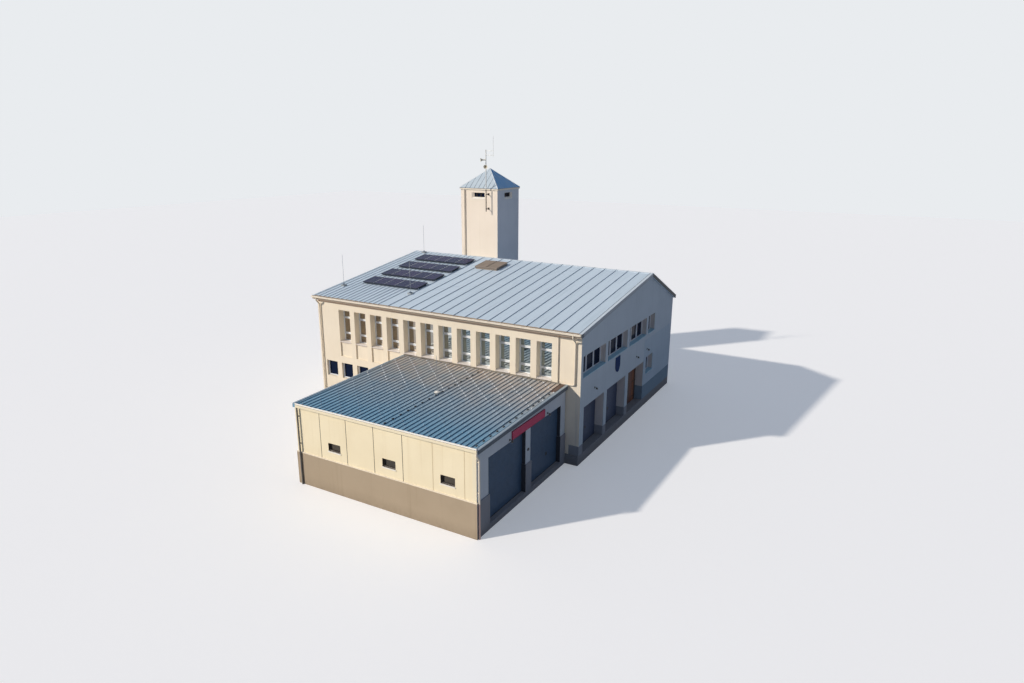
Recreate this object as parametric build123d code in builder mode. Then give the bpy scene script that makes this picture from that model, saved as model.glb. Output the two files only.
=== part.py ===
from build123d import *
from math import atan, cos, sin
import os

os.makedirs("parts", exist_ok=True)

# Fire station: a gabled hall, a lower garage annex on its left side and a hose tower
# on its right side. The gable with the doors faces -Y, +Y runs towards the back and
# z = 0 is the lowest ground that the walls reach. The hall's front left corner is x = 0, y = 0.

# Floor levels above the lowest ground
hall_floor_level = 640
annex_floor_level = 340
slab_thickness = 250

# Hall, outside plan and roof heights above the hall floor
hall_width = 18500
hall_length = 21570
left_eave_rise = 8140
right_eave_rise = 7140
ridge_rise = 9820
ridge_place = 12420
roof_thickness = 260
left_overhang = 330
right_overhang = 200
gable_overhang = 145
verge_thickness = 30
annex_verge_drop = 20
cap_reach = 220
cap_thickness = 25

# Hall walls
front_wall_lower = 700
front_wall_upper = 450
left_wall = 600
right_wall = 300
back_wall = 350
corner_setback = 100
foundation_width = 700
upper_floor_rise = 4200
upper_floor_thickness = 250

# Doors in the hall's gable, places and widths from the left corner
door_head_rise = 3100
door_a_place, door_a_width = 714, 3311
door_b_place, door_b_width = 4530, 3490
door_c_place, door_c_width = 8575, 3302
garage_leaf = 60
garage_setback = 600
garage_lap = 110
garage_joint = 6
garage_sections = 4

# Windows in the hall's gable: wide ones at an even pitch, then a narrow one at the right
gable_window_first = 420
gable_window_pitch = 4040
gable_window_width = 3610
gable_window_count = 3
gable_end_place, gable_end_width = 12520, 1510
gable_sill_rise = 5110
gable_head_rise = 6495
gable_window_setback = 350
side_window_place, side_window_width = 12430, 1520
side_sill_rise = 1940
side_head_rise = 3280

# Tall windows between pilasters in the hall's left wall, as many as its length takes
tall_module = 1500
tall_width = 1070
tall_first = 1963
tall_end_pier = 1500
tall_sill_rise = 4735
tall_head_rise = 7175
tall_setback = 500
tall_transoms = (605, 1795)
tall_transom_bar = 120
apron_depth = 100
apron_height = 1130
corner_zone = 1534
low_window_first = 8
low_end_pier = 400
low_sill_rise = 1900
low_head_rise = 3100
low_setback = 150

# Windows of the sides that face away
far_window_width = 1430
far_window_setback = 120
far_first = 2500
far_end_pier = 500
far_right_pitch = 3000
far_back_pitch = 4200
far_last_gap = 980

# Window joinery
frame_depth = 70
frame_bar = 60
glass_thickness = 20
sill_thickness = 25
sill_nose = 40

# Gutters and downpipes
gutter_width = 150
gutter_height = 110
gutter_wall = 8
gutter_drop = 12
pipe_radius = 50
pipe_standoff = 40
pipe_bend = 120
pipe_neck = 180
front_pipe_inset = 380
back_pipe_inset = 250
shoe_lift = 40
shoe_reach = 300
plinth_pipe_gap = 10
clamp_height = 50
clamp_width = 60
clamp_levels = (1500, 4000, 6300)
upper_clamp_levels = (6000, 7500)
annex_clamp_levels = (2600, 4300)
plinth_clamp_level = 700
tower_clamp_levels = (10800, 13000, 15200)

# Garage annex on the hall's left side
annex_width = 10300
annex_setback = 958
annex_length = 12510
annex_eave_rise = 4373
annex_top_rise = 4600
annex_roof_thickness = 200
annex_overhang = 20
annex_verge = 120
annex_gutter_height = 250
annex_gutter_lift = 130
annex_gutter_end = 200
annex_back_pipe_inset = 280
annex_corner_pipe_inset = 80
annex_side_wall = 250
annex_front_wall = 235
annex_plinth_rise = 1420
annex_plinth_proud = 60
annex_door_head_rise = 3490
annex_door_1_place, annex_door_1_width = -9160, 4040
annex_door_2_place, annex_door_2_width = -4570, 3960
annex_foot_spread = 60
annex_sections = 5
panel_joint = 20
panel_width = 1980
panel_count = 6
panel_first = 1660
small_window_places = (2260, 6130, 10090)
small_window_width = 910
small_sill_rise = 1990
small_head_rise = 2480
small_setback = 90

# Hose tower on the hall's right side
tower_side = 3720
tower_back_gap = 3150
tower_rise = 15210
tower_apex_rise = 16940
tower_wall = 250
tower_overhang = 70
tower_fascia = 120
tower_tip = 60
tower_roof_hollow_drop = 450
tower_pipe_inset = 400
tower_pipe_lift = 60
tower_window_width = 1330
tower_window_shift = 90
tower_sill_rise = 14420
tower_head_rise = 14940
tower_setback = 130

# Solar collectors and hatch on the left roof slope
solar_rows = 4
solar_first = 3220
solar_pitch = 2200
solar_panels = 5
solar_panel_pitch = 1030
solar_panel_gap = 20
solar_depth = 1400
solar_thickness = 85
rail_height = 90
rail_width = 60
rail_inset = 180
hatch_place, hatch_depth = 9410, 1660
hatch_gap, hatch_width = 1240, 1940
hatch_curb = 150
hatch_lid = 60
hatch_lap = 50

# Rods that catch lightning: places across the roof, and along it from the tower or the back
front_rod_place, front_rod_gap = 2360, 50
back_rod_place, back_rod_gap = 2230, 630
ridge_rod_clearance, ridge_rod_gap = 20, 1000
annex_rod_place = (-4950, 7140)
rod_radius = 12
rod_length = 2300
rod_foot = 320
rod_foot_height = 90

# Small fittings on the walls
lamp_places = (2350, 10170, 12500)
lamp_rise = 3880
lamp_plate = 110
lamp_plate_thickness = 20
lamp_reach = 160
lamp_arm = 24
lamp_shade_height = 110
lamp_shade_drop = 35
lamp_shade_wide = 80
lamp_shade_narrow = 30
badge_place, badge_bottom = 5880, 3860
badge_width, badge_height, badge_depth = 800, 1100, 40
badge_shoulder = 0.45
sign_place, sign_width = -6740, 3840
sign_bottom, sign_height, sign_depth = 3560, 460, 60
sign_lamp_places = (-6960, -2470)
sign_lamp_rise = 3570

# Siren mast on the tower's left face
mast_inset = 890
mast_standoff = 400
mast_foot_drop = 1800
mast_length = 5090
mast_radius = 38
bracket_heights = (190, 1410)
bracket_bar = 50
bracket_plate_width = 180
bracket_plate_height = 180
bracket_plate_thickness = 15
crossbar_drops = (410, 60)
crossbar_reach = 760
crossbar_radius = 18
whip_radius = 12
whip_foot_drop = 550
whip_length = 1700
horn_drops = (1350, 800)
horn_turns = (3.6, 2.2)
horn_length = 420
horn_mouth = 170
horn_throat = 45
horn_throat_length = 120
horn_seat = 8
horn_flare_place = 0.7
horn_wall = 12

# Hinged leaves of bay C
door_frame_bar = 60
door_frame_depth = 100
door_stop = 25
leaf_thickness = 60
leaf_clearance = 5
leaf_meeting = 6
threshold_clearance = 10
hinge_rises = (350, 1550, 2750)
pin_radius = 10
pin_clearance = 0.3
eye_radius = 17.7
eye_height = 60
lug_height = 40
lug_radius = 14
hinge_inset = 8
pin_rise = 5
plate_gap = 10
strap_thickness = 10
strap_width = 50
strap_length = 900

# Places that follow from the sizes
left_slope = (ridge_rise - left_eave_rise) / ridge_place
right_slope = (ridge_rise - right_eave_rise) / (hall_width - ridge_place)
annex_slope = (annex_top_rise - annex_eave_rise) / (annex_width + annex_overhang)
ridge_z = hall_floor_level + ridge_rise
door_head_z = hall_floor_level + door_head_rise
tall_sill_z = hall_floor_level + tall_sill_rise
tall_head_z = hall_floor_level + tall_head_rise
gable_sill_z = hall_floor_level + gable_sill_rise
gable_head_z = hall_floor_level + gable_head_rise
side_sill_z = hall_floor_level + side_sill_rise
side_head_z = hall_floor_level + side_head_rise
upper_rise = (gable_sill_z, gable_head_z)
lower_rise = (side_sill_z, side_head_z)
low_rise = (hall_floor_level + low_sill_rise, hall_floor_level + low_head_rise)
small_rise = (hall_floor_level + small_sill_rise, hall_floor_level + small_head_rise)
tower_window_rise = (hall_floor_level + tower_sill_rise, hall_floor_level + tower_head_rise)
annex_plinth_z = hall_floor_level + annex_plinth_rise
annex_door_head_z = hall_floor_level + annex_door_head_rise
annex_back = annex_setback + annex_length
tower_left = hall_width - tower_side
tower_back = hall_length - tower_back_gap
tower_front = tower_back - tower_side
tower_top_z = hall_floor_level + tower_rise
left_roof_angle = atan(left_slope)
door_c_end = door_c_place + door_c_width
inner_back = hall_length - back_wall
inner_right = hall_width - right_wall
verge_depth = roof_thickness
annex_verge_depth = annex_roof_thickness + annex_verge_drop
gable_windows = [(gable_window_first + number * gable_window_pitch, gable_window_width)
                 for number in range(gable_window_count)] + [(gable_end_place, gable_end_width)]


def places_between(first, width, pitch, limit):
    """Places at an even pitch whose pieces of a given width end before the limit."""
    count = int((limit - first - width) // pitch) + 1
    return [first + number * pitch for number in range(count)]


tall_places = places_between(tall_first, tall_width, tall_module, hall_length - tall_end_pier)
low_places = places_between(tall_first, tall_width, tall_module, hall_length - low_end_pier)
low_places = low_places[low_window_first:]
far_right_places = places_between(far_first, far_window_width, far_right_pitch,
                                  tower_front - far_end_pier) + [tower_back + far_last_gap]
far_back_places = places_between(far_first, far_window_width, far_back_pitch,
                                 hall_width - far_end_pier)


def roof_top(x):
    """Height of the hall roof's outer surface over a place across the hall."""
    slope = left_slope if x < ridge_place else right_slope
    return ridge_z - abs(ridge_place - x) * slope


def roof_under(x):
    """Height of the hall roof's underside over a place across the hall."""
    return roof_top(x) - roof_thickness


def annex_top(x):
    """Height of the annex roof's outer surface over a place across the annex."""
    return hall_floor_level + annex_top_rise + x * annex_slope


def annex_under(x):
    """Height of the annex roof's underside over a place across the annex."""
    return annex_top(x) - annex_roof_thickness


def block(x, y, z, mode=Mode.ADD):
    """Adds or cuts a box that spans the given pairs of X, Y and Z values."""
    centre = ((x[0] + x[1]) / 2, (y[0] + y[1]) / 2, (z[0] + z[1]) / 2)
    with Locations(centre):
        Box(x[1] - x[0], y[1] - y[0], z[1] - z[0], mode=mode)


def wall_block(faces_x, along, through, up, mode=Mode.ADD):
    """A box in a wall that faces along X, or else along Y."""
    if faces_x:
        block(through, along, up, mode)
    else:
        block(along, through, up, mode)


def prism_y(points, y, mode=Mode.ADD):
    """Extrudes an outline of X and Z values between two places along Y."""
    with BuildSketch(Plane.XZ.offset(-y[0])) as outline:
        with BuildLine():
            Polyline(*points, close=True)
        make_face()
    extrude(outline.sketch, amount=y[0] - y[1], mode=mode)


def prism_x(points, x, mode=Mode.ADD):
    """Extrudes an outline of Y and Z values between two places along X."""
    with BuildSketch(Plane.YZ.offset(x[0])) as outline:
        with BuildLine():
            Polyline(*points, close=True)
        make_face()
    extrude(outline.sketch, amount=x[1] - x[0], mode=mode)


def save(builder, name):
    """Labels a finished piece and writes it as its own file."""
    builder.part.label = name
    export_step(builder.part, f"parts/{name}.step")


def window_frame(faces_x, along, through, up, lights=1, transoms=()):
    """A frame with upright bars between its lights and transoms at given heights."""
    wall_block(faces_x, along, through, up)
    pitch = (along[1] - along[0] - frame_bar) / lights
    sills = [up[0] + frame_bar, *[up[0] + t + tall_transom_bar / 2 for t in transoms]]
    heads = [*[up[0] + t - tall_transom_bar / 2 for t in transoms], up[1] - frame_bar]
    for light in range(lights):
        left = along[0] + frame_bar + light * pitch
        for pane in zip(sills, heads):
            wall_block(faces_x, (left, left + pitch - frame_bar), through, pane, Mode.SUBTRACT)


def tall_window_span(number):
    """The stretch of the left wall that one tall window fills."""
    return (tall_places[number], tall_places[number] + tall_width)


# Foundation ring of the hall, with the floor slab inside it
with BuildPart() as hall_foundation:
    block((0, hall_width), (0, hall_length), (0, hall_floor_level))
    block((foundation_width, hall_width - foundation_width),
          (foundation_width, hall_length - foundation_width),
          (0, hall_floor_level), Mode.SUBTRACT)
save(hall_foundation, "hall_foundation")

with BuildPart() as hall_floor:
    block((foundation_width, hall_width - foundation_width),
          (foundation_width, hall_length - foundation_width),
          (hall_floor_level - slab_thickness, hall_floor_level))
save(hall_floor, "hall_floor")

# Upper floor, with the tower's shaft left open
upper_floor_top = hall_floor_level + upper_floor_rise
with BuildPart() as hall_upper_floor:
    levels = (upper_floor_top - upper_floor_thickness, upper_floor_top)
    block((left_wall, inner_right), (front_wall_lower, inner_back), levels)
    block((tower_left, inner_right), (tower_front, tower_back), levels, Mode.SUBTRACT)
save(hall_upper_floor, "hall_upper_floor")

# Piers between the doors of the gable
front_depth = (0, front_wall_lower)
pier_rise = (hall_floor_level, door_head_z)
with BuildPart() as hall_front_piers:
    block((corner_setback, door_a_place), front_depth, pier_rise)
    block((door_a_place + door_a_width, door_b_place), front_depth, pier_rise)
    block((door_b_place + door_b_width, door_c_place), front_depth, pier_rise)
save(hall_front_piers, "hall_front_piers")

with BuildPart() as hall_front_wall_right:
    block((door_c_end, hall_width), front_depth, (hall_floor_level, tall_sill_z))
    block((side_window_place, side_window_place + side_window_width), front_depth,
          (side_sill_z, side_head_z), Mode.SUBTRACT)
save(hall_front_wall_right, "hall_front_wall_right")

with BuildPart() as hall_front_lintel:
    block((corner_setback, door_c_end), front_depth, (door_head_z, tall_sill_z))
save(hall_front_lintel, "hall_front_lintel")

# Upper part of the gable: a band under the windows, posts between them, the gable field
upper_depth = (0, front_wall_upper)
with BuildPart() as hall_front_band:
    block((corner_setback, hall_width), upper_depth, (tall_sill_z, gable_sill_z))
save(hall_front_band, "hall_front_band")

with BuildPart() as hall_front_posts:
    edges = [corner_setback]
    for place, width in gable_windows:
        edges += [place, place + width]
    edges.append(hall_width)
    for left, right in zip(edges[0::2], edges[1::2]):
        block((left, right), upper_depth, (gable_sill_z, gable_head_z))
save(hall_front_posts, "hall_front_posts")


def gable_field(low, high, bottom):
    """Outline of the wall under the roof between two places across the hall."""
    return ((low, bottom), (high, bottom), (high, roof_under(high)),
            (ridge_place, roof_under(ridge_place)), (low, roof_under(low)))


with BuildPart() as hall_front_gable:
    prism_y(gable_field(corner_setback, hall_width, gable_head_z), upper_depth)
save(hall_front_gable, "hall_front_gable")

# Left wall under the tall windows, in front of and behind the annex's back wall
tall_count = len(tall_places)
wall_split = tall_first + low_window_first * tall_module - (tall_module - tall_width) / 2


def cut_aprons(numbers):
    """Cuts the shallow recess under each tall window."""
    for number in numbers:
        block((0, apron_depth), tall_window_span(number),
              (tall_sill_z - apron_height, tall_sill_z), Mode.SUBTRACT)


with BuildPart() as hall_left_wall_front:
    block((corner_setback, left_wall), (front_wall_lower, corner_zone),
          (hall_floor_level, tall_sill_z))
    block((0, left_wall), (corner_zone, wall_split), (hall_floor_level, tall_sill_z))
    cut_aprons(range(min(low_window_first, tall_count)))
save(hall_left_wall_front, "hall_left_wall_front")

with BuildPart() as hall_left_wall_back:
    block((0, left_wall), (wall_split, hall_length), (hall_floor_level, tall_sill_z))
    cut_aprons(range(low_window_first, tall_count))
    for place in low_places:
        block((0, left_wall), (place, place + tall_width), low_rise, Mode.SUBTRACT)
save(hall_left_wall_back, "hall_left_wall_back")

with BuildPart() as hall_pilasters:
    rise = (tall_sill_z, tall_head_z)
    block((corner_setback, left_wall), (front_wall_upper, corner_zone), rise)
    block((0, left_wall), (corner_zone, tall_window_span(0)[0]), rise)
    for number in range(1, tall_count):
        block((0, left_wall), (tall_window_span(number - 1)[1], tall_window_span(number)[0]), rise)
    block((0, left_wall), (tall_window_span(tall_count - 1)[1], hall_length), rise)
save(hall_pilasters, "hall_pilasters")


def eave_outline(low, high, bottom):
    """Outline of a side wall's top part, whose upper edge follows the roof."""
    return ((low, bottom), (high, bottom), (high, roof_under(high)), (low, roof_under(low)))


with BuildPart() as hall_left_lintel:
    prism_y(eave_outline(corner_setback, left_wall, tall_head_z), (front_wall_upper, corner_zone))
    prism_y(eave_outline(0, left_wall, tall_head_z), (corner_zone, hall_length))
save(hall_left_lintel, "hall_left_lintel")

# Back wall in two storeys
back_depth = (inner_back, hall_length)
back_span = (left_wall, inner_right)
with BuildPart() as hall_back_wall:
    block(back_span, back_depth, (hall_floor_level, tall_sill_z))
    prism_y(gable_field(left_wall, inner_right, tall_sill_z), back_depth)
    for place in far_back_places:
        for rise in (lower_rise, upper_rise):
            block((place, place + far_window_width), back_depth, rise, Mode.SUBTRACT)
save(hall_back_wall, "hall_back_wall")

# Right wall in two storeys, before and behind the tower
right_depth = (inner_right, hall_width)
right_outline = eave_outline(*right_depth, tall_sill_z)
with BuildPart() as hall_right_wall:
    block(right_depth, (front_wall_lower, tower_front), (hall_floor_level, tall_sill_z))
    block(right_depth, (tower_back, hall_length), (hall_floor_level, tall_sill_z))
    prism_y(right_outline, (front_wall_upper, tower_front))
    prism_y(right_outline, (tower_back, hall_length))
    for place in far_right_places:
        for rise in (lower_rise, upper_rise):
            block(right_depth, (place, place + far_window_width), rise, Mode.SUBTRACT)
save(hall_right_wall, "hall_right_wall")

# Roof slopes, verge boards and ridge cap
roof_run = (-gable_overhang, hall_length + gable_overhang)
left_edge = -left_overhang
right_edge = hall_width + right_overhang
with BuildPart() as hall_roof_left:
    prism_y(((left_edge, roof_under(left_edge)), (ridge_place, roof_under(ridge_place)),
             (ridge_place, ridge_z), (left_edge, roof_top(left_edge))), roof_run)
save(hall_roof_left, "hall_roof_left")

with BuildPart() as hall_roof_right:
    prism_y(((ridge_place, roof_under(ridge_place)), (right_edge, roof_under(right_edge)),
             (right_edge, roof_top(right_edge)), (ridge_place, ridge_z)), roof_run)
    block((tower_left, right_edge + right_overhang), (tower_front, tower_back),
          (tall_sill_z, ridge_z), Mode.SUBTRACT)
save(hall_roof_right, "hall_roof_right")

with BuildPart() as hall_ridge_cap:
    cap_left, cap_right = ridge_place - cap_reach, ridge_place + cap_reach
    prism_y(((cap_left, roof_top(cap_left)), (ridge_place, ridge_z), (cap_right, roof_top(cap_right)),
             (cap_right, roof_top(cap_right) + cap_thickness), (ridge_place, ridge_z + cap_thickness),
             (cap_left, roof_top(cap_left) + cap_thickness)), roof_run)
save(hall_ridge_cap, "hall_ridge_cap")


def gutter(inner, outer, top, y, height=gutter_height):
    """A box gutter between two places across the building, open at its top."""
    low, high = min(inner, outer), max(inner, outer)
    block((low, high), y, (top - height, top))
    block((low + gutter_wall, high - gutter_wall), (y[0] + gutter_wall, y[1] - gutter_wall),
          (top - height + gutter_wall, top), Mode.SUBTRACT)


left_gutter_top = roof_top(left_edge) - gutter_drop
right_gutter_top = roof_top(right_edge) - gutter_drop
with BuildPart() as hall_gutters:
    gutter(left_edge, left_edge - gutter_width, left_gutter_top, roof_run)
    gutter(right_edge, right_edge + gutter_width, right_gutter_top, (roof_run[0], tower_front))
    gutter(right_edge, right_edge + gutter_width, right_gutter_top, (tower_back, roof_run[1]))
save(hall_gutters, "hall_gutters")


def downpipe(points, bend):
    """A round pipe along straight runs with a bend at each corner."""
    with BuildLine() as route:
        FilletPolyline(*points, radius=bend)
    with BuildSketch(Plane(origin=route.line @ 0, z_dir=route.line % 0)) as section:
        Circle(pipe_radius)
    sweep(section.sketch, path=route.line)


def upright_pipe(x, y, low, high):
    """A straight stretch of downpipe between two heights."""
    with Locations((x, y, (low + high) / 2)):
        Cylinder(pipe_radius, high - low)


def pipe_clamps(x, y, heights):
    """Blocks that hold a downpipe to the wall between the given X and Y values."""
    for height in heights:
        block(x, y, (height, height + clamp_height))


# Tall windows of the left wall
with BuildPart() as tall_window_frames:
    for number in range(tall_count):
        window_frame(True, tall_window_span(number), (tall_setback, tall_setback + frame_depth),
                     (tall_sill_z, tall_head_z), transoms=tall_transoms)
save(tall_window_frames, "tall_window_frames")

with BuildPart() as tall_window_glass:
    back_of_frame = tall_setback + frame_depth
    for number in range(tall_count):
        block((back_of_frame, back_of_frame + glass_thickness), tall_window_span(number),
              (tall_sill_z, tall_head_z))
save(tall_window_glass, "tall_window_glass")

# Sloping sills under the tall windows and the gable's windows
with BuildPart() as window_sills:
    for number in range(tall_count):
        span = tall_window_span(number)
        prism_y(((-sill_nose, tall_sill_z), (tall_setback, tall_sill_z),
                 (tall_setback, tall_sill_z + 2 * sill_thickness),
                 (-sill_nose, tall_sill_z + sill_thickness)), span)
    for place, width in gable_windows:
        prism_x(((-sill_nose, gable_sill_z), (gable_window_setback, gable_sill_z),
                 (gable_window_setback, gable_sill_z + 2 * sill_thickness),
                 (-sill_nose, gable_sill_z + sill_thickness)), (place, place + width))
    prism_x(((-sill_nose, side_sill_z), (gable_window_setback, side_sill_z),
             (gable_window_setback, side_sill_z + 2 * sill_thickness),
             (-sill_nose, side_sill_z + sill_thickness)),
            (side_window_place, side_window_place + side_window_width))
save(window_sills, "window_sills")


def overhead_leaf(place, width, bottom, head, front, sections, lap=0):
    """Sections of an overhead door, in its opening or lapping the wall behind it."""
    top = head + lap
    pitch = (top - bottom + garage_joint) / sections
    for number in range(sections):
        low = bottom + number * pitch
        block((place - lap, place + width + lap), (front, front + garage_leaf),
              (low, low + pitch - garage_joint))


with BuildPart() as hall_garage_doors:
    for place, width in ((door_a_place, door_a_width), (door_b_place, door_b_width)):
        overhead_leaf(place, width, hall_floor_level, door_head_z, garage_setback, garage_sections)
save(hall_garage_doors, "hall_garage_doors")

# Bay C: timber frame with a stop, hinge pins on the frame and two hinged leaves
frame_front = front_wall_lower - door_frame_depth
frame_inner = (door_c_place + door_frame_bar, door_c_end - door_frame_bar)
frame_head_z = door_head_z - door_frame_bar
stop_front = frame_front + leaf_thickness + leaf_clearance
leaf_start = frame_inner[0] + leaf_clearance
leaf_end = frame_inner[1] - leaf_clearance
leaf_middle = (leaf_start + leaf_end) / 2
leaf_rise = (hall_floor_level + threshold_clearance, frame_head_z - leaf_clearance)
hinge_y = frame_front - eye_radius - pin_clearance
hinge_left = leaf_start + hinge_inset
hinge_right = leaf_end - hinge_inset
hinge_levels = [hall_floor_level + rise for rise in hinge_rises]

with BuildPart() as bay_c_frame:
    block((door_c_place, door_c_end), (frame_front, front_wall_lower), (hall_floor_level, door_head_z))
    block(frame_inner, (frame_front, front_wall_lower), (hall_floor_level, frame_head_z),
          Mode.SUBTRACT)
    for left, right in ((frame_inner[0], frame_inner[0] + door_stop),
                        (frame_inner[1] - door_stop, frame_inner[1])):
        block((left, right), (stop_front, front_wall_lower), (hall_floor_level, frame_head_z))
    block(frame_inner, (stop_front, front_wall_lower), (frame_head_z - door_stop, frame_head_z))
save(bay_c_frame, "bay_c_frame")


def hinge_pin(x, wall_side, level):
    """A lug on the frame's face with an upright pin in it."""
    foot_x = sorted((x, x + wall_side * (door_frame_bar - leaf_clearance)))
    plate_x = sorted((x + wall_side * (leaf_clearance + plate_gap),
                      foot_x[0] if wall_side < 0 else foot_x[1]))
    with Locations((x, hinge_y, level - lug_height / 2)):
        Cylinder(lug_radius, lug_height)
    block(foot_x, (hinge_y - lug_radius / 2, hinge_y + lug_radius / 2), (level - lug_height, level))
    block(plate_x, (hinge_y - lug_radius / 2, frame_front), (level - lug_height, level))
    with Locations((x, hinge_y, level + eye_height / 2)):
        Cylinder(pin_radius, eye_height + 2 * pin_rise)


with BuildPart() as bay_c_hinge_pins:
    for level in hinge_levels:
        hinge_pin(hinge_left, -1, level)
        hinge_pin(hinge_right, 1, level)
save(bay_c_hinge_pins, "bay_c_hinge_pins")


def leaf_straps(x, inward):
    """Straps on a leaf's face, each ending in an eye that turns on its pin."""
    for level in hinge_levels:
        low = level + pin_clearance
        with Locations((x, hinge_y, low + eye_height / 2)):
            Cylinder(eye_radius, eye_height)
        strap_x = sorted((x, x + inward * strap_length))
        block(strap_x, (frame_front - strap_thickness, frame_front), (low, low + strap_width))
        with Locations((x, hinge_y, low + eye_height / 2)):
            Cylinder(pin_radius + pin_clearance, eye_height, mode=Mode.SUBTRACT)


with BuildPart() as bay_c_left_leaf:
    block((leaf_start, leaf_middle - leaf_meeting / 2), (frame_front, frame_front + leaf_thickness),
          leaf_rise)
save(bay_c_left_leaf, "bay_c_left_leaf")

with BuildPart() as bay_c_right_leaf:
    block((leaf_middle + leaf_meeting / 2, leaf_end), (frame_front, frame_front + leaf_thickness),
          leaf_rise)
save(bay_c_right_leaf, "bay_c_right_leaf")

with BuildPart() as bay_c_left_straps:
    leaf_straps(hinge_left, 1)
save(bay_c_left_straps, "bay_c_left_straps")

with BuildPart() as bay_c_right_straps:
    leaf_straps(hinge_right, -1)
save(bay_c_right_straps, "bay_c_right_straps")

# Solar collectors on rails and the hatch, in the plane of the left slope
slope_plane = Plane(origin=(0, 0, roof_top(0)), x_dir=(cos(left_roof_angle), 0, sin(left_roof_angle)),
                    z_dir=(-sin(left_roof_angle), 0, cos(left_roof_angle)))
solar_run = (tower_front, tower_front + solar_panels * solar_panel_pitch - solar_panel_gap)

with BuildPart(slope_plane) as solar_rails:
    for row in range(solar_rows):
        lower = solar_first + row * solar_pitch
        for low in (lower + rail_inset, lower + solar_depth - rail_inset - rail_width):
            block((low, low + rail_width), solar_run, (0, rail_height))
save(solar_rails, "solar_rails")

with BuildPart(slope_plane) as solar_collectors:
    for row in range(solar_rows):
        lower = solar_first + row * solar_pitch
        for panel in range(solar_panels):
            start = tower_front + panel * solar_panel_pitch
            block((lower, lower + solar_depth), (start, start + solar_panel_pitch - solar_panel_gap),
                  (rail_height, rail_height + solar_thickness))
save(solar_collectors, "solar_collectors")

hatch_end = tower_front - hatch_gap
hatch_start = hatch_end - hatch_width
with BuildPart(slope_plane) as roof_hatch:
    block((hatch_place, hatch_place + hatch_depth), (hatch_start, hatch_end), (0, hatch_curb))
    block((hatch_place - hatch_lap, hatch_place + hatch_depth + hatch_lap),
          (hatch_start - hatch_lap, hatch_end + hatch_lap), (hatch_curb, hatch_curb + hatch_lid))
save(roof_hatch, "roof_hatch")


def lightning_rod(x, y, surface):
    """An upright rod in a weighted foot whose underside follows the roof."""
    half = rod_foot / 2
    top = surface(x + half) + rod_foot_height
    prism_y(((x - half, surface(x - half)), (x + half, surface(x + half)), (x + half, top),
             (x - half, top)), (y - half, y + half))
    with Locations((x, y, top + rod_length / 2)):
        Cylinder(rod_radius, rod_length)


with BuildPart() as lightning_rods:
    lightning_rod(front_rod_place, tower_front - front_rod_gap, roof_top)
    lightning_rod(back_rod_place, hall_length - back_rod_gap, roof_top)
    lightning_rod(ridge_place - cap_reach - rod_foot / 2 - ridge_rod_clearance,
                  hall_length - ridge_rod_gap, roof_top)
    lightning_rod(*annex_rod_place, annex_top)
save(lightning_rods, "lightning_rods")


def wall_lamp(x, face, height):
    """A plate, an arm and a shade that opens downwards."""
    half = lamp_plate / 2
    plate_face = face - lamp_plate_thickness
    block((x - half, x + half), (plate_face, face), (height, height + lamp_plate))
    block((x - lamp_arm / 2, x + lamp_arm / 2), (face - lamp_reach, plate_face),
          (height + half, height + half + lamp_arm))
    with Locations((x, face - lamp_reach, height + half - lamp_shade_drop)):
        Cone(lamp_shade_wide, lamp_shade_narrow, lamp_shade_height)


with BuildPart() as blank_badge:
    with BuildSketch(Plane.XZ):
        middle = badge_place + badge_width / 2
        bottom = hall_floor_level + badge_bottom
        shoulder = bottom + badge_height * badge_shoulder
        with BuildLine():
            Line((badge_place, shoulder), (badge_place, bottom + badge_height))
            Line((badge_place, bottom + badge_height), (badge_place + badge_width, bottom + badge_height))
            Line((badge_place + badge_width, bottom + badge_height), (badge_place + badge_width, shoulder))
            TangentArc((badge_place + badge_width, shoulder), (middle, bottom), tangent=(0, -1))
            TangentArc((badge_place, shoulder), (middle, bottom), tangent=(0, -1))
        make_face()
    extrude(amount=badge_depth)
save(blank_badge, "blank_badge")

# Annex: plinth ring with the door piers' feet, floor, walls and roof
annex_outer = -annex_width
annex_inner = annex_outer + annex_side_wall
annex_face = annex_setback
annex_front_inner = annex_face + annex_front_wall
annex_back_inner = annex_back - annex_side_wall
door_1_end = annex_door_1_place + annex_door_1_width
door_2_end = annex_door_2_place + annex_door_2_width
annex_piers = ((annex_outer, annex_door_1_place), (door_1_end, annex_door_2_place), (door_2_end, 0))

with BuildPart() as annex_plinth:
    proud = annex_plinth_proud
    block((annex_outer - proud, annex_inner), (annex_face - proud, annex_back + proud),
          (0, annex_plinth_z))
    block((annex_inner, 0), (annex_back_inner, annex_back + proud), (0, annex_plinth_z))
    block((annex_inner, 0), (annex_face - proud, annex_front_inner), (0, annex_floor_level))
    for left, right in annex_piers:
        foot = (max(left - annex_foot_spread, annex_outer - proud), min(right + annex_foot_spread, 0))
        block(foot, (annex_face - proud, annex_front_inner), (0, annex_plinth_z))
save(annex_plinth, "annex_plinth")

with BuildPart() as annex_floor:
    block((annex_inner, 0), (annex_front_inner, annex_back_inner),
          (annex_floor_level - slab_thickness, annex_floor_level))
save(annex_floor, "annex_floor")

with BuildPart() as annex_front_piers:
    for left, right in annex_piers:
        block((left, right), (annex_face, annex_front_inner), (annex_plinth_z, annex_door_head_z))
save(annex_front_piers, "annex_front_piers")


def annex_outline(low, high, bottom):
    """Outline of an annex wall whose upper edge follows its roof."""
    return ((low, bottom), (high, bottom), (high, annex_under(high)), (low, annex_under(low)))


with BuildPart() as annex_front_lintel:
    prism_y(annex_outline(annex_outer, 0, annex_door_head_z), (annex_face, annex_front_inner))
save(annex_front_lintel, "annex_front_lintel")

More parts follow.
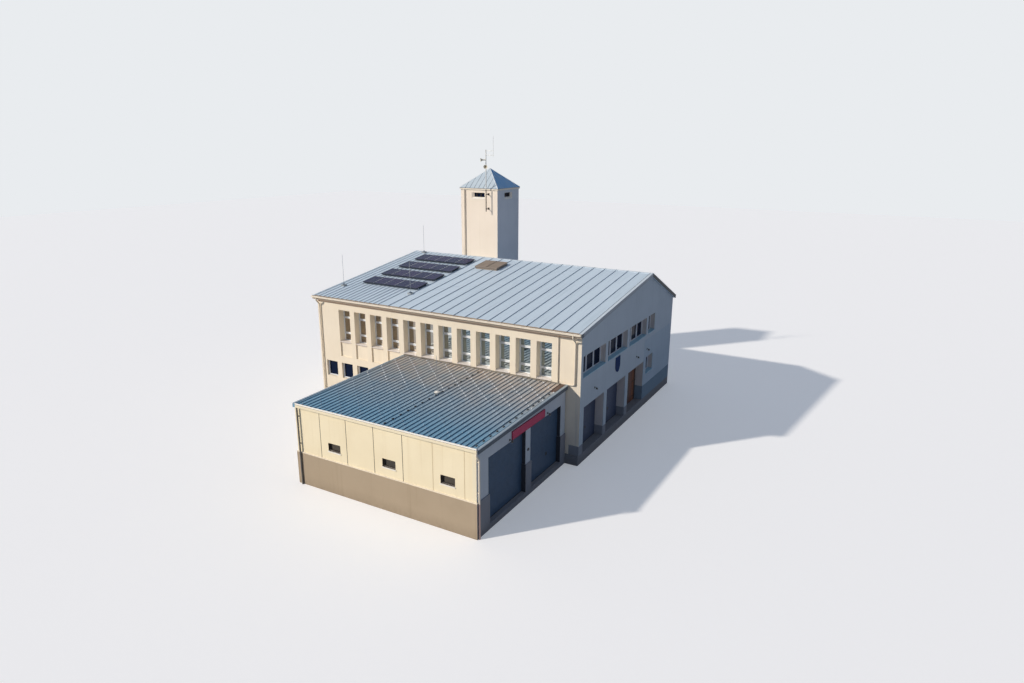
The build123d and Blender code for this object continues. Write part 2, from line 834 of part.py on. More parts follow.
with BuildPart() as annex_side_panels:
    prism_y(annex_outline(annex_outer, annex_inner, annex_plinth_z), (annex_front_inner, annex_back))
    for number in range(panel_count):
        joint = panel_first + number * panel_width
        block((annex_outer, annex_outer + panel_joint), (joint, joint + panel_joint),
              (annex_plinth_z, annex_top(0)), Mode.SUBTRACT)
    for place in small_window_places:
        block((annex_outer, annex_inner), (place, place + small_window_width), small_rise,
              Mode.SUBTRACT)
save(annex_side_panels, "annex_side_panels")

with BuildPart() as annex_back_wall:
    prism_y(annex_outline(annex_inner, 0, annex_plinth_z), (annex_back_inner, annex_back))
save(annex_back_wall, "annex_back_wall")

annex_roof_edge = annex_outer - annex_overhang
annex_run = (annex_face - annex_verge, annex_back + annex_verge)
with BuildPart() as annex_roof:
    prism_y(((annex_roof_edge, annex_under(annex_roof_edge)), (0, annex_under(0)), (0, annex_top(0)),
             (annex_roof_edge, annex_top(annex_roof_edge))), annex_run)
save(annex_roof, "annex_roof")

# Verge boards on the four roof ends
with BuildPart() as verge_trim:
    hall_outline = ((left_edge, roof_top(left_edge)), (ridge_place, ridge_z),
                    (right_edge, roof_top(right_edge)),
                    (right_edge, roof_top(right_edge) - verge_depth),
                    (ridge_place, ridge_z - verge_depth),
                    (left_edge, roof_top(left_edge) - verge_depth))
    annex_edge_outline = ((annex_roof_edge, annex_top(annex_roof_edge)), (0, annex_top(0)),
                          (0, annex_top(0) - annex_verge_depth),
                          (annex_roof_edge, annex_top(annex_roof_edge) - annex_verge_depth))
    for outline, run in ((hall_outline, roof_run), (annex_edge_outline, annex_run)):
        prism_y(outline, (run[0] - verge_thickness, run[0]))
        prism_y(outline, (run[1], run[1] + verge_thickness))
save(verge_trim, "verge_trim")

# The annex gutter stands higher outside than at the roof's edge
annex_gutter_top = annex_top(annex_roof_edge) + annex_gutter_lift
annex_gutter_run = (annex_run[0], annex_back - annex_gutter_end)
with BuildPart() as annex_gutter:
    gutter(annex_roof_edge, annex_roof_edge - gutter_width, annex_gutter_top, annex_gutter_run,
           annex_gutter_height)
    block((annex_roof_edge - gutter_wall, annex_roof_edge), annex_gutter_run,
          (annex_top(annex_roof_edge) - gutter_drop, annex_gutter_top), Mode.SUBTRACT)
save(annex_gutter, "annex_gutter")

# Downpipes at both ends of the left eave and at both ends of the right eave
pipe_x = -pipe_radius - pipe_standoff
gutter_mid = left_edge - gutter_width / 2
left_outlet_z = left_gutter_top - gutter_height
front_pipe_y = front_pipe_inset
back_pipe_y = hall_length - back_pipe_inset
front_pipe_x = corner_setback + pipe_x
shoe_z = annex_top(0) + pipe_radius + shoe_lift
shoe_y = annex_setback + shoe_reach
right_gutter_mid = right_edge + gutter_width / 2
right_outlet_z = right_gutter_top - gutter_height
right_pipe_x = hall_width + pipe_radius + pipe_standoff

# Downpipes of the annex and of the tower
annex_gutter_mid = annex_roof_edge - gutter_width / 2
annex_outlet_z = annex_gutter_top - annex_gutter_height
plinth_pipe_reach = annex_plinth_proud + plinth_pipe_gap + pipe_radius
annex_pipe_x = annex_outer - plinth_pipe_reach
annex_pipe_y = annex_back - annex_back_pipe_inset
corner_pipe_x = annex_outer + annex_corner_pipe_inset
corner_pipe_y = annex_face - plinth_pipe_reach
corner_outlet_y = annex_run[0] + pipe_radius
tower_pipe_y = tower_back - tower_pipe_inset
tower_pipe_x = tower_left - pipe_radius - pipe_standoff


def clamp_span(place):
    """The stretch that a clamp fills to both sides of its pipe's middle."""
    return (place - clamp_width / 2, place + clamp_width / 2)


with BuildPart() as downpipes:
    downpipe(((gutter_mid, back_pipe_y, left_outlet_z),
              (gutter_mid, back_pipe_y, left_outlet_z - pipe_neck),
              (pipe_x, back_pipe_y, left_outlet_z - 3 * pipe_neck), (pipe_x, back_pipe_y, 0)), pipe_bend)
    pipe_clamps((pipe_x, 0), clamp_span(back_pipe_y), clamp_levels)
    downpipe(((gutter_mid, front_pipe_y, left_outlet_z),
              (gutter_mid, front_pipe_y, left_outlet_z - pipe_neck),
              (front_pipe_x, front_pipe_y, left_outlet_z - 3 * pipe_neck),
              (front_pipe_x, front_pipe_y, shoe_z), (front_pipe_x, shoe_y, shoe_z)), pipe_bend)
    pipe_clamps((front_pipe_x, corner_setback), clamp_span(front_pipe_y), upper_clamp_levels)
    for pipe_y in (front_pipe_y, back_pipe_y):
        downpipe(((right_gutter_mid, pipe_y, right_outlet_z),
                  (right_gutter_mid, pipe_y, right_outlet_z - pipe_neck),
                  (right_pipe_x, pipe_y, right_outlet_z - 2.5 * pipe_neck),
                  (right_pipe_x, pipe_y, 0)), pipe_bend)
        pipe_clamps((hall_width, right_pipe_x), clamp_span(pipe_y), clamp_levels)
    upright_pipe(annex_pipe_x, annex_pipe_y, 0, annex_outlet_z)
    pipe_clamps((annex_pipe_x, annex_outer), clamp_span(annex_pipe_y), annex_clamp_levels)
    pipe_clamps((annex_pipe_x, annex_outer - annex_plinth_proud), clamp_span(annex_pipe_y),
                (plinth_clamp_level,))
    downpipe(((annex_gutter_mid, corner_outlet_y, annex_outlet_z),
              (annex_gutter_mid, corner_outlet_y, annex_outlet_z - pipe_neck),
              (corner_pipe_x, corner_pipe_y, annex_outlet_z - 2.5 * pipe_neck),
              (corner_pipe_x, corner_pipe_y, 0)), pipe_bend)
    pipe_clamps(clamp_span(corner_pipe_x), (corner_pipe_y, annex_face), annex_clamp_levels)
    pipe_clamps(clamp_span(corner_pipe_x), (corner_pipe_y, annex_face - annex_plinth_proud),
                (plinth_clamp_level,))
    upright_pipe(tower_pipe_x, tower_pipe_y, roof_top(tower_pipe_x) + tower_pipe_lift, tower_top_z)
    pipe_clamps((tower_pipe_x, tower_left), clamp_span(tower_pipe_y), tower_clamp_levels)
save(downpipes, "downpipes")

with BuildPart() as annex_garage_doors:
    for place, width in ((annex_door_1_place, annex_door_1_width),
                         (annex_door_2_place, annex_door_2_width)):
        overhead_leaf(place, width, annex_floor_level, annex_door_head_z, annex_front_inner,
                      annex_sections, garage_lap)
save(annex_garage_doors, "annex_garage_doors")

sign_z = hall_floor_level + sign_bottom
with BuildPart() as blank_sign:
    block((sign_place, sign_place + sign_width), (annex_face - sign_depth, annex_face),
          (sign_z, sign_z + sign_height))
save(blank_sign, "blank_sign")

with BuildPart() as wall_lamps:
    for place in lamp_places:
        wall_lamp(place, 0, hall_floor_level + lamp_rise)
    for place in sign_lamp_places:
        wall_lamp(place, annex_face, hall_floor_level + sign_lamp_rise)
save(wall_lamps, "wall_lamps")

# Tower walls, with a window near the top of each
tower_middle_x = (tower_left + hall_width) / 2
tower_middle_y = (tower_front + tower_back) / 2
side_window_y = tower_middle_y + tower_window_shift
half_window = tower_window_width / 2
tower_wall_rise = (hall_floor_level, tower_top_z)
with BuildPart() as tower_cross_walls:
    for depth in ((tower_front, tower_front + tower_wall), (tower_back - tower_wall, tower_back)):
        block((tower_left, hall_width), depth, tower_wall_rise)
        block((tower_middle_x - half_window, tower_middle_x + half_window), depth,
              tower_window_rise, Mode.SUBTRACT)
save(tower_cross_walls, "tower_cross_walls")

with BuildPart() as tower_side_walls:
    for depth in ((tower_left, tower_left + tower_wall), (hall_width - tower_wall, hall_width)):
        block(depth, (tower_front + tower_wall, tower_back - tower_wall), tower_wall_rise)
        block(depth, (side_window_y - half_window, side_window_y + half_window),
              tower_window_rise, Mode.SUBTRACT)
save(tower_side_walls, "tower_side_walls")

# Smaller windows of all three buildings. Each one has the wall it is in, its middle, width
# and heights, the place of its outer face through the wall, the way inwards and its lights
windows = [(False, place + width / 2, width, upper_rise, gable_window_setback, 1,
            3 if width > 2 * far_window_width else 1) for place, width in gable_windows]
windows.append((False, side_window_place + side_window_width / 2, side_window_width, lower_rise,
                gable_window_setback, 1, 1))
for rise in (lower_rise, upper_rise):
    windows += [(False, place + far_window_width / 2, far_window_width, rise,
                 hall_length - far_window_setback, -1, 1) for place in far_back_places]
    windows += [(True, place + far_window_width / 2, far_window_width, rise,
                 hall_width - far_window_setback, -1, 1) for place in far_right_places]
windows += [(True, place + tall_width / 2, tall_width, low_rise, low_setback, 1, 1)
            for place in low_places]
windows += [(True, place + small_window_width / 2, small_window_width, small_rise,
             annex_outer + small_setback, 1, 1) for place in small_window_places]
windows += [(False, tower_middle_x, tower_window_width, tower_window_rise,
             tower_front + tower_setback, 1, 3),
            (False, tower_middle_x, tower_window_width, tower_window_rise,
             tower_back - tower_setback, -1, 3),
            (True, side_window_y, tower_window_width, tower_window_rise,
             tower_left + tower_setback, 1, 3),
            (True, side_window_y, tower_window_width, tower_window_rise,
             hall_width - tower_setback, -1, 3)]

with BuildPart() as window_frames:
    for faces_x, middle, width, rise, face, inward, lights in windows:
        depth = sorted((face, face + inward * frame_depth))
        window_frame(faces_x, (middle - width / 2, middle + width / 2), depth, rise, lights)
save(window_frames, "window_frames")

with BuildPart() as window_glass:
    for faces_x, middle, width, rise, face, inward, lights in windows:
        back = face + inward * frame_depth
        depth = sorted((back, back + inward * glass_thickness))
        wall_block(faces_x, (middle - width / 2, middle + width / 2), depth, rise)
save(window_glass, "window_glass")

# Tower roof: a hollow pyramid with an upright edge
with BuildPart() as tower_roof:
    edge = tower_side + 2 * tower_overhang
    apex_z = hall_floor_level + tower_apex_rise
    centre = (tower_middle_x, tower_middle_y)
    with BuildSketch(Plane.XY.offset(tower_top_z + tower_fascia)):
        with Locations(centre):
            Rectangle(edge, edge)
    with BuildSketch(Plane.XY.offset(apex_z)):
        with Locations(centre):
            Rectangle(tower_tip, tower_tip)
    loft()
    block((centre[0] - edge / 2, centre[0] + edge / 2), (centre[1] - edge / 2, centre[1] + edge / 2),
          (tower_top_z, tower_top_z + tower_fascia))
    hollow = tower_side - 2 * tower_wall
    with BuildSketch(Plane.XY.offset(tower_top_z)) as hollow_base:
        with Locations(centre):
            Rectangle(hollow, hollow)
    with BuildSketch(Plane.XY.offset(apex_z - tower_roof_hollow_drop)) as hollow_tip:
        with Locations(centre):
            Rectangle(tower_tip, tower_tip)
    loft([hollow_base.sketch.face(), hollow_tip.sketch.face()], mode=Mode.SUBTRACT)
save(tower_roof, "tower_roof")

# Siren mast: pole, wall brackets, crossbars and whip, with two horns on the pole
mast_x = tower_left - mast_standoff
mast_place = tower_front + mast_inset
mast_foot_z = tower_top_z - mast_foot_drop
mast_top_z = mast_foot_z + mast_length
with BuildPart() as siren_mast:
    with Locations((mast_x, mast_place, (mast_foot_z + mast_top_z) / 2)):
        Cylinder(mast_radius, mast_top_z - mast_foot_z)
    for height in bracket_heights:
        level = mast_foot_z + height + bracket_bar / 2
        with Locations(((mast_x + tower_left) / 2, mast_place, level)):
            Box(mast_standoff, bracket_bar, bracket_bar)
        with Locations((tower_left - bracket_plate_thickness / 2, mast_place, level)):
            Box(bracket_plate_thickness, bracket_plate_width, bracket_plate_height)
    for drop in crossbar_drops:
        with Locations(Location((mast_x, mast_place - crossbar_reach / 2, mast_top_z - drop),
                                (90, 0, 0))):
            Cylinder(crossbar_radius, crossbar_reach)
    with Locations((mast_x, mast_place - crossbar_reach + 2 * crossbar_radius,
                    mast_top_z - whip_foot_drop + whip_length / 2)):
        Cylinder(whip_radius, whip_length)
save(siren_mast, "siren_mast")


def horn(angle, level):
    """A flared horn that points sideways from the mast."""
    seat = Plane(origin=(mast_x, mast_place, level), z_dir=(cos(angle), sin(angle), 0))
    foot = mast_radius - horn_seat
    throat_end = mast_radius + horn_throat_length
    flare = mast_radius + horn_flare_place * horn_length
    reach = mast_radius + horn_length
    bore = horn_throat - 2 * horn_wall
    with BuildSketch(Plane(origin=seat.origin, x_dir=seat.z_dir, z_dir=seat.x_dir)) as profile:
        with BuildLine():
            Polyline((throat_end + horn_wall, bore), (throat_end + horn_wall, 0), (foot, 0),
                     (foot, horn_throat), (throat_end, horn_throat))
            Spline((throat_end, horn_throat), (flare, horn_mouth / 2), (reach, horn_mouth))
            Line((reach, horn_mouth), (reach, horn_mouth - horn_wall))
            Spline((reach, horn_mouth - horn_wall), (flare, horn_mouth / 2 - horn_wall),
                   (throat_end + horn_wall, bore))
        make_face()
    revolve(profile.sketch, axis=Axis(seat.origin, seat.z_dir))


with BuildPart() as siren_horns:
    for drop, turn in zip(horn_drops, horn_turns):
        horn(turn, mast_top_z - drop)
    with Locations((mast_x, mast_place, (mast_foot_z + mast_top_z) / 2)):
        Cylinder(mast_radius, mast_length, mode=Mode.SUBTRACT)
save(siren_horns, "siren_horns")
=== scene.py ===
import logging
import math
from dataclasses import dataclass, field, replace
from enum import Enum
from functools import cache
from typing import Any, Iterable, Sequence

import bmesh
import bpy
from mathutils import Matrix, Vector


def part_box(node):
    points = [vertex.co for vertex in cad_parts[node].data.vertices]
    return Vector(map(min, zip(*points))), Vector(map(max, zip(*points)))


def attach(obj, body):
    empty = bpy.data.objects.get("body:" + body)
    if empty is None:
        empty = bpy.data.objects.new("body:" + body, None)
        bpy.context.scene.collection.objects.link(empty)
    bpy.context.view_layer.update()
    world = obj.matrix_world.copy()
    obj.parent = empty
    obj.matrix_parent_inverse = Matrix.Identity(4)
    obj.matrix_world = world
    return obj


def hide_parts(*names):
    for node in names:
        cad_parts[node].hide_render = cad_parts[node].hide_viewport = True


# The fire station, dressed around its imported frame. Lengths are in metres, +X runs to the
# right along the gable with the doors, +Y from that gable to the back and +Z up.

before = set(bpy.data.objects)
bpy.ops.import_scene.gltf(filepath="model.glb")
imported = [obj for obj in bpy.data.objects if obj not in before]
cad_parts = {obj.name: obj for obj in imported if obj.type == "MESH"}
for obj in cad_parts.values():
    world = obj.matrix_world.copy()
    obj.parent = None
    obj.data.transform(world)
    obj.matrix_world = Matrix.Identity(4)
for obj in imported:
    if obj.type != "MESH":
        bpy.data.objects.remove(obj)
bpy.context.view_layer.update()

LOG = logging.getLogger("fire_station")
BUILDING = "building"
LEFT_DOOR = "bay_c_left_door"
RIGHT_DOOR = "bay_c_right_door"
SUNK = 0.002
ENDLESS = 1e3

Span = tuple[float, float]
Point = tuple[float, float, float]
Colour = tuple[float, float, float, float]
Outline = Sequence[tuple[float, float]]
Socket = bpy.types.NodeSocket
Node = bpy.types.Node
Piece = bpy.types.Object
Material = bpy.types.Material


class Axis(Enum):
    """The three directions of the frame, as places in a point."""

    X = 0
    Y = 1
    Z = 2

    def beside(self) -> "Axis":
        """The other of the two level directions."""
        return Axis.X if self is Axis.Y else Axis.Y


class SocketKind(Enum):
    """Kinds of input that a repeating tree may take."""

    VECTOR = "NodeSocketVector"
    FLOAT = "NodeSocketFloat"
    COUNT = "NodeSocketInt"
    PART = "NodeSocketObject"
    FINISH = "NodeSocketMaterial"


def tint(code: str) -> Colour:
    """Turns a display colour into the linear one that a shader takes.

    Args:
        code: Six hexadecimal digits after a number sign.

    Returns:
        Red, green, blue and a full alpha.
    """
    parts = [int(code[i:i + 2], 16) / 255 for i in (1, 3, 5)]
    linear = [p / 12.92 if p <= 0.04045 else ((p + 0.055) / 1.055) ** 2.4 for p in parts]
    return (linear[0], linear[1], linear[2], 1.0)


@dataclass(frozen=True)
class Box:
    """Lowest and highest corner of something in the frame."""

    low: Vector
    high: Vector

    def span(self, axis: Axis) -> Span:
        """The pair of values along one axis."""
        return (self.low[axis.value], self.high[axis.value])

    def size(self, axis: Axis) -> float:
        """The extent along one axis."""
        return self.high[axis.value] - self.low[axis.value]

    def middle(self) -> Vector:
        """The centre of the box."""
        return (self.low + self.high) / 2

    def grown(self, margin: float) -> "Box":
        """The box with a margin on all sides."""
        return Box(self.low - Vector([margin] * 3), self.high + Vector([margin] * 3))


@dataclass(frozen=True)
class Zone:
    """A stretch of the building, between two corners, with a colour of its own."""

    colour: str
    low: Point = (-ENDLESS, -ENDLESS, -ENDLESS)
    high: Point = (ENDLESS, ENDLESS, ENDLESS)

    @staticmethod
    def past(colour: str, x: float = -ENDLESS, y: float = -ENDLESS, z: float = -ENDLESS) -> "Zone":
        """All that lies beyond some places."""
        return Zone(colour, low=(x, y, z))

    @staticmethod
    def before(colour: str, x: float = ENDLESS, y: float = ENDLESS, z: float = ENDLESS) -> "Zone":
        """All that lies short of some places."""
        return Zone(colour, high=(x, y, z))


def node_box(node: str) -> Box:
    """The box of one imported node."""
    return Box(*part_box(node))


def solids_of(node: str) -> list[list[Vector]]:
    """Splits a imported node's mesh into its separate solids.

    Args:
        node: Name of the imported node.

    Returns:
        One list of points for each solid, in a fixed order from its lowest corner.
    """
    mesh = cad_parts[node].data
    keys: dict[tuple[int, ...], int] = {}
    joined = [keys.setdefault(tuple(round(c * 20000) for c in v.co), len(keys)) for v in mesh.vertices]
    parent = list(range(len(keys)))

    def root(item: int) -> int:
        """Follows an item to the one that stands for its solid."""
        while parent[item] != item:
            parent[item] = parent[parent[item]]
            item = parent[item]
        return item

    for face in mesh.polygons:
        first = root(joined[face.vertices[0]])
        for corner in face.vertices[1:]:
            parent[root(joined[corner])] = first
    groups: dict[int, list[Vector]] = {}
    for number, vertex in enumerate(mesh.vertices):
        groups.setdefault(root(joined[number]), []).append(vertex.co.copy())
    return sorted(groups.values(), key=lambda g: tuple(round(min(p[k] for p in g), 3) for k in (2, 1, 0)))


def box_of(points: Iterable[Vector]) -> Box:
    """The box around some points."""
    held = list(points)
    return Box(Vector([min(p[k] for p in held) for k in range(3)]),
               Vector([max(p[k] for p in held) for k in range(3)]))


def boxes_of(node: str, turn: Matrix = Matrix.Identity(4)) -> list[Box]:
    """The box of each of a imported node's solids, where turned by a matrix."""
    return [box_of([turn @ p for p in points]) for points in solids_of(node)]


def points_of(node: str) -> list[Vector]:
    """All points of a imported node."""
    return [v.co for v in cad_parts[node].data.vertices]


@dataclass(frozen=True)
class RoofPlane:
    """A roof slope's outer surface, which rises or falls along X only."""

    low_x: float
    high_x: float
    low_z: float
    high_z: float
    run: Span

    @staticmethod
    def of_node(node: str) -> "RoofPlane":
        """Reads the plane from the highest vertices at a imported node's two ends."""
        box = node_box(node)
        points = points_of(node)
        ends = [max(p.z for p in points if abs(p.x - x) < 1e-3) for x in box.span(Axis.X)]
        return RoofPlane(box.low.x, box.high.x, ends[0], ends[1], box.span(Axis.Y))

    def grade(self) -> float:
        """Rise for each metre along X."""
        return (self.high_z - self.low_z) / (self.high_x - self.low_x)

    def height(self, x: float) -> float:
        """Height of the surface over a place across the building."""
        return self.low_z + (x - self.low_x) * self.grade()

    def slope(self, length: float) -> Vector:
        """The step along the surface for a length along X."""
        return Vector((length, 0, length * self.grade()))

    def turn(self) -> Matrix:
        """Turn about Y that lays the X axis along the slope."""
        return Matrix.Rotation(-math.atan(self.grade()), 4, "Y")

    def point(self, x: float, y: float, lift: float = 0.0) -> Vector:
        """A point at a height above the surface."""
        return Vector((x, y, self.height(x))) + Vector((-self.grade(), 0, 1)).normalized() * lift

    def verges(self, inside: float, outside: float) -> tuple[tuple[str, Span], ...]:
        """The name of each gable edge and the span of a strip over it."""
        return (("front", (self.run[0] - outside, self.run[0] + inside)),
                ("back", (self.run[1] - inside, self.run[1] + outside)))


def corners(a: Span, b: Span, inset: float = 0.0) -> Outline:
    """The corners of a rectangle, drawn in from its edges by an inset."""
    return ((a[0] + inset, b[0] + inset), (a[1] - inset, b[0] + inset),
            (a[1] - inset, b[1] - inset), (a[0] + inset, b[1] - inset))


def point_at(axis: Axis, depth: float, a: float, b: float) -> Vector:
    """A point from its value on one axis and those on the two others."""
    values = [a, b]
    values.insert(axis.value, depth)
    return Vector(values)


def circle(sides: int) -> list[Span]:
    """Cosine and sine of even steps round a circle."""
    return [(math.cos(t), math.sin(t)) for t in (2 * math.pi * k / sides for k in range(sides))]


class Draft:
    """Collects faces of one piece; each way to add some returns the draft itself."""

    def __init__(self) -> None:
        """Starts with no faces."""
        self.points: list[Vector] = []
        self.faces: list[tuple[int, ...]] = []

    def loft(self, rings: Sequence[Sequence[Vector]], closed: bool = False) -> "Draft":
        """Joins rings of points, each with the next.

        Args:
            rings: Rings with the same number of points.
            closed: Whether the last is joined to the first; if not, both get a face.

        Returns:
            The draft itself.
        """
        count = len(rings[0])
        starts = [len(self.points) + count * number for number in range(len(rings))]
        self.points += [point for ring in rings for point in ring]
        if not closed:
            self.faces.append(tuple(range(starts[0], starts[0] + count)))
            self.faces.append(tuple(range(starts[-1] + count - 1, starts[-1] - 1, -1)))
        for a, b in zip(starts, starts[1:] + starts[:int(closed)]):
            self.faces += [(a + k, a + (k + 1) % count, b + (k + 1) % count, b + k) for k in range(count)]
        return self

    def prism(self, outline: Outline, axis: Axis, span: Span) -> "Draft":
        """Extrudes an outline on the two other axes along an axis."""
        return self.loft([[point_at(axis, end, a, b) for a, b in outline] for end in span])

    def block(self, low: Sequence[float], high: Sequence[float]) -> "Draft":
        """Adds a box between two corners."""
        x, y, z = zip(low, high)
        return self.prism(corners(x, y), Axis.Z, z)

    def ring(self, axis: Axis, a: Span, b: Span, width: float, depth: Span, bead: float) -> "Draft":
        """Adds a rectangular frame with a sloping bead round its inside.

        Args:
            axis: The direction that the frame faces.
            a: Outer span on the first of the two other axes.
            b: Outer span on the second.
            width: Width of the bars.
            depth: Place of the front and of the back.
            bead: How far the bead's inner edge lies behind the front.

        Returns:
            The draft itself.
        """
        front, back = depth
        inward = math.copysign(bead, back - front)
        levels = ((0.0, front), (width * 0.7, front), (width, front + inward), (width, back), (0.0, back))
        return self.loft([[point_at(axis, level, *corner) for corner in corners(a, b, inset)]
                          for inset, level in levels], closed=True)

    def tube(self, route: Sequence[Sequence[float]], radius: float, sides: int = 12) -> "Draft":
        """Adds a round bar along a route, closed at both ends.

        Args:
            route: Points on its middle line.
            radius: Radius of the bar.
            sides: Number of steps round it.

        Returns:
            The draft itself.
        """
        points = [Vector(p) for p in route]
        rings: list[list[Vector]] = []
        for number, point in enumerate(points):
            ahead = (points[min(number + 1, len(points) - 1)] - points[max(number - 1, 0)]).normalized()
            side = rings[-1][0] - points[number - 1] if rings else ahead.orthogonal()
            side = (side - side.dot(ahead) * ahead).normalized()
            other = ahead.cross(side)
            rings.append([point + radius * (c * side + s * other) for c, s in circle(sides)])
        return self.loft(rings)

    def lathe(self, profile: Outline, centre: Sequence[float] = (0, 0, 0), axis: Axis = Axis.Z,
              sides: int = 24) -> "Draft":
        """Turns an outline of radius and height about an axis through a centre.

        Args:
            profile: Pairs of radius and height; its ends lie on the axis, or it closes to a ring.
            centre: Point on the axis at height 0.
            axis: The direction of the axis.
            sides: Number of steps round it.

        Returns:
            The draft itself.
        """
        rings = [[Vector(centre) + point_at(axis, height, radius * c, radius * s) for c, s in circle(sides)]
                 for radius, height in profile]
        return self.loft(rings, closed=profile[0][0] > 0)

    def plate(self, plane: RoofPlane, across: Span, along: Span, lift: Span) -> "Draft":
        """Adds a flat plate that lies on a roof slope.

        Args:
            plane: The slope.
            across: Its two ends along X.
            along: Its two ends along Y.
            lift: Heights of its underside and of its top above the slope.

        Returns:
            The draft itself.
        """
        return self.loft([[plane.point(x, y, height) for y, height in corners(along, lift)] for x in across])

    def to_object(self, name: str, turn: Matrix = Matrix.Identity(4)) -> Piece:
        """Makes the mesh object, with its points turned by a matrix."""
        mesh = bpy.data.meshes.new(name)
        mesh.from_pydata([tuple(turn @ p) for p in self.points], [], self.faces)
        tidy_mesh(mesh)
        return linked(name, mesh)


def linked(name: str, data: Any) -> Piece:
    """Makes an object of a mesh, lamp or camera and puts it in the scene."""
    made = bpy.data.objects.new(name, data)
    bpy.context.scene.collection.objects.link(made)
    return made


def tidy_mesh(mesh: bpy.types.Mesh) -> None:
    """Merges doubles, drops faces without area and turns all faces outwards."""
    work = bmesh.new()
    work.from_mesh(mesh)
    bmesh.ops.remove_doubles(work, verts=work.verts, dist=1e-5)
    bmesh.ops.dissolve_degenerate(work, edges=work.edges, dist=1e-6)
    bmesh.ops.recalc_face_normals(work, faces=work.faces)
    work.to_mesh(mesh)
    work.free()
    mesh.update()


def round_edges(piece: Piece, width: float) -> None:
    """Rounds the sharp edges of a piece by a small radius."""
    bevel = piece.modifiers.new("rounded_edges", "BEVEL")
    bevel.width = width
    bevel.segments = 2
    bevel.limit_method = "ANGLE"
    bevel.angle_limit = math.radians(40)


class Nodes:
    """A node tree, with short ways to add, set and link its nodes."""

    def __init__(self, tree: bpy.types.NodeTree) -> None:
        """Takes the tree over."""
        self.tree = tree

    def add(self, kind: str, **settings: Any) -> Node:
        """Adds a node and sets its properties."""
        node = self.tree.nodes.new(kind)
        for key, value in settings.items():
            setattr(node, key, value)
        return node

    def put(self, value: Any, target: Socket) -> None:
        """Links a socket to a target, or sets a plain value on it."""
        if isinstance(value, Socket):
            self.tree.links.new(value, target)
        else:
            target.default_value = value

    def math(self, operation: str, first: Any, second: Any = 0.0, clamp: bool = False) -> Socket:
        """A sum, product or other operation on two values or sockets."""
        node = self.add("ShaderNodeMath", operation=operation, use_clamp=clamp)
        self.put(first, node.inputs[0])
        self.put(second, node.inputs[1])
        return node.outputs[0]

    def seen(self) -> Socket:
        """1 for rays from the camera and for mirrored and refracted ones, else 0."""
        path = self.add("ShaderNodeLightPath").outputs
        mirrored = self.math("MAXIMUM", path["Is Glossy Ray"], path["Is Transmission Ray"])
        return self.math("MAXIMUM", path["Is Camera Ray"], mirrored)


class RepeatTree(Nodes):
    """A geometry tree with named inputs that repeats something in rows."""

    def __init__(self, name: str, inputs: dict[str, SocketKind]) -> None:
        """Makes the tree with its inputs, its output and the node that reads the inputs.

        Args:
            name: Name of the tree.
            inputs: Name and kind of each input.
        """
        super().__init__(bpy.data.node_groups.new(name, "GeometryNodeTree"))
        interface = self.tree.interface
        interface.new_socket("Geometry", in_out="OUTPUT", socket_type="NodeSocketGeometry")
        self.keys = {key: interface.new_socket(key, in_out="INPUT", socket_type=kind.value).identifier
                     for key, kind in inputs.items()}
        self.source = self.add("NodeGroupInput")
        self.build()

    def build(self) -> None:
        """Adds the nodes; each kind of tree has its own."""
        raise NotImplementedError

    def join(self, *links: tuple[Node, str, Node, str]) -> None:
        """Makes links, each from a node's named output to a node's named input."""
        for start, output, end, name in links:
            self.tree.links.new(start.outputs[output], end.inputs[name])

    def line(self, start: str, step: str, count: str) -> Node:
        """Adds a row of points from three of the tree's inputs."""
        row = self.add("GeometryNodeMeshLine", mode="OFFSET")
        self.join((self.source, start, row, "Start Location"), (self.source, step, row, "Offset"),
                  (self.source, count, row, "Count"))
        return row

    def close(self, instances: Node) -> None:
        """Ends the tree by making the copies real and giving them their finish."""
        real = self.add("GeometryNodeRealizeInstances")
        finish = self.add("GeometryNodeSetMaterial")
        self.join((instances, "Instances", real, "Geometry"), (real, "Geometry", finish, "Geometry"),
                  (self.source, "Finish", finish, "Material"),
                  (finish, "Geometry", self.add("NodeGroupOutput"), "Geometry"))

    def make(self, name: str, values: dict[str, Any]) -> Piece:
        """Runs the tree and keeps its result as a plain mesh object.

        Args:
            name: Name of the piece.
            values: A value for each named input.

        Returns:
            The finished object, with no modifier on it.
        """
        carrier = linked(name + "_carrier", bpy.data.meshes.new(name + "_carrier"))
        modifier = carrier.modifiers.new("rows", "NODES")
        modifier.node_group = self.tree
        for key, value in values.items():
            modifier[self.keys[key]] = value
        graph = bpy.context.evaluated_depsgraph_get()
        mesh = bpy.data.meshes.new_from_object(carrier.evaluated_get(graph))
        mesh.name = name
        bpy.data.objects.remove(carrier)
        tidy_mesh(mesh)
        return linked(name, mesh)


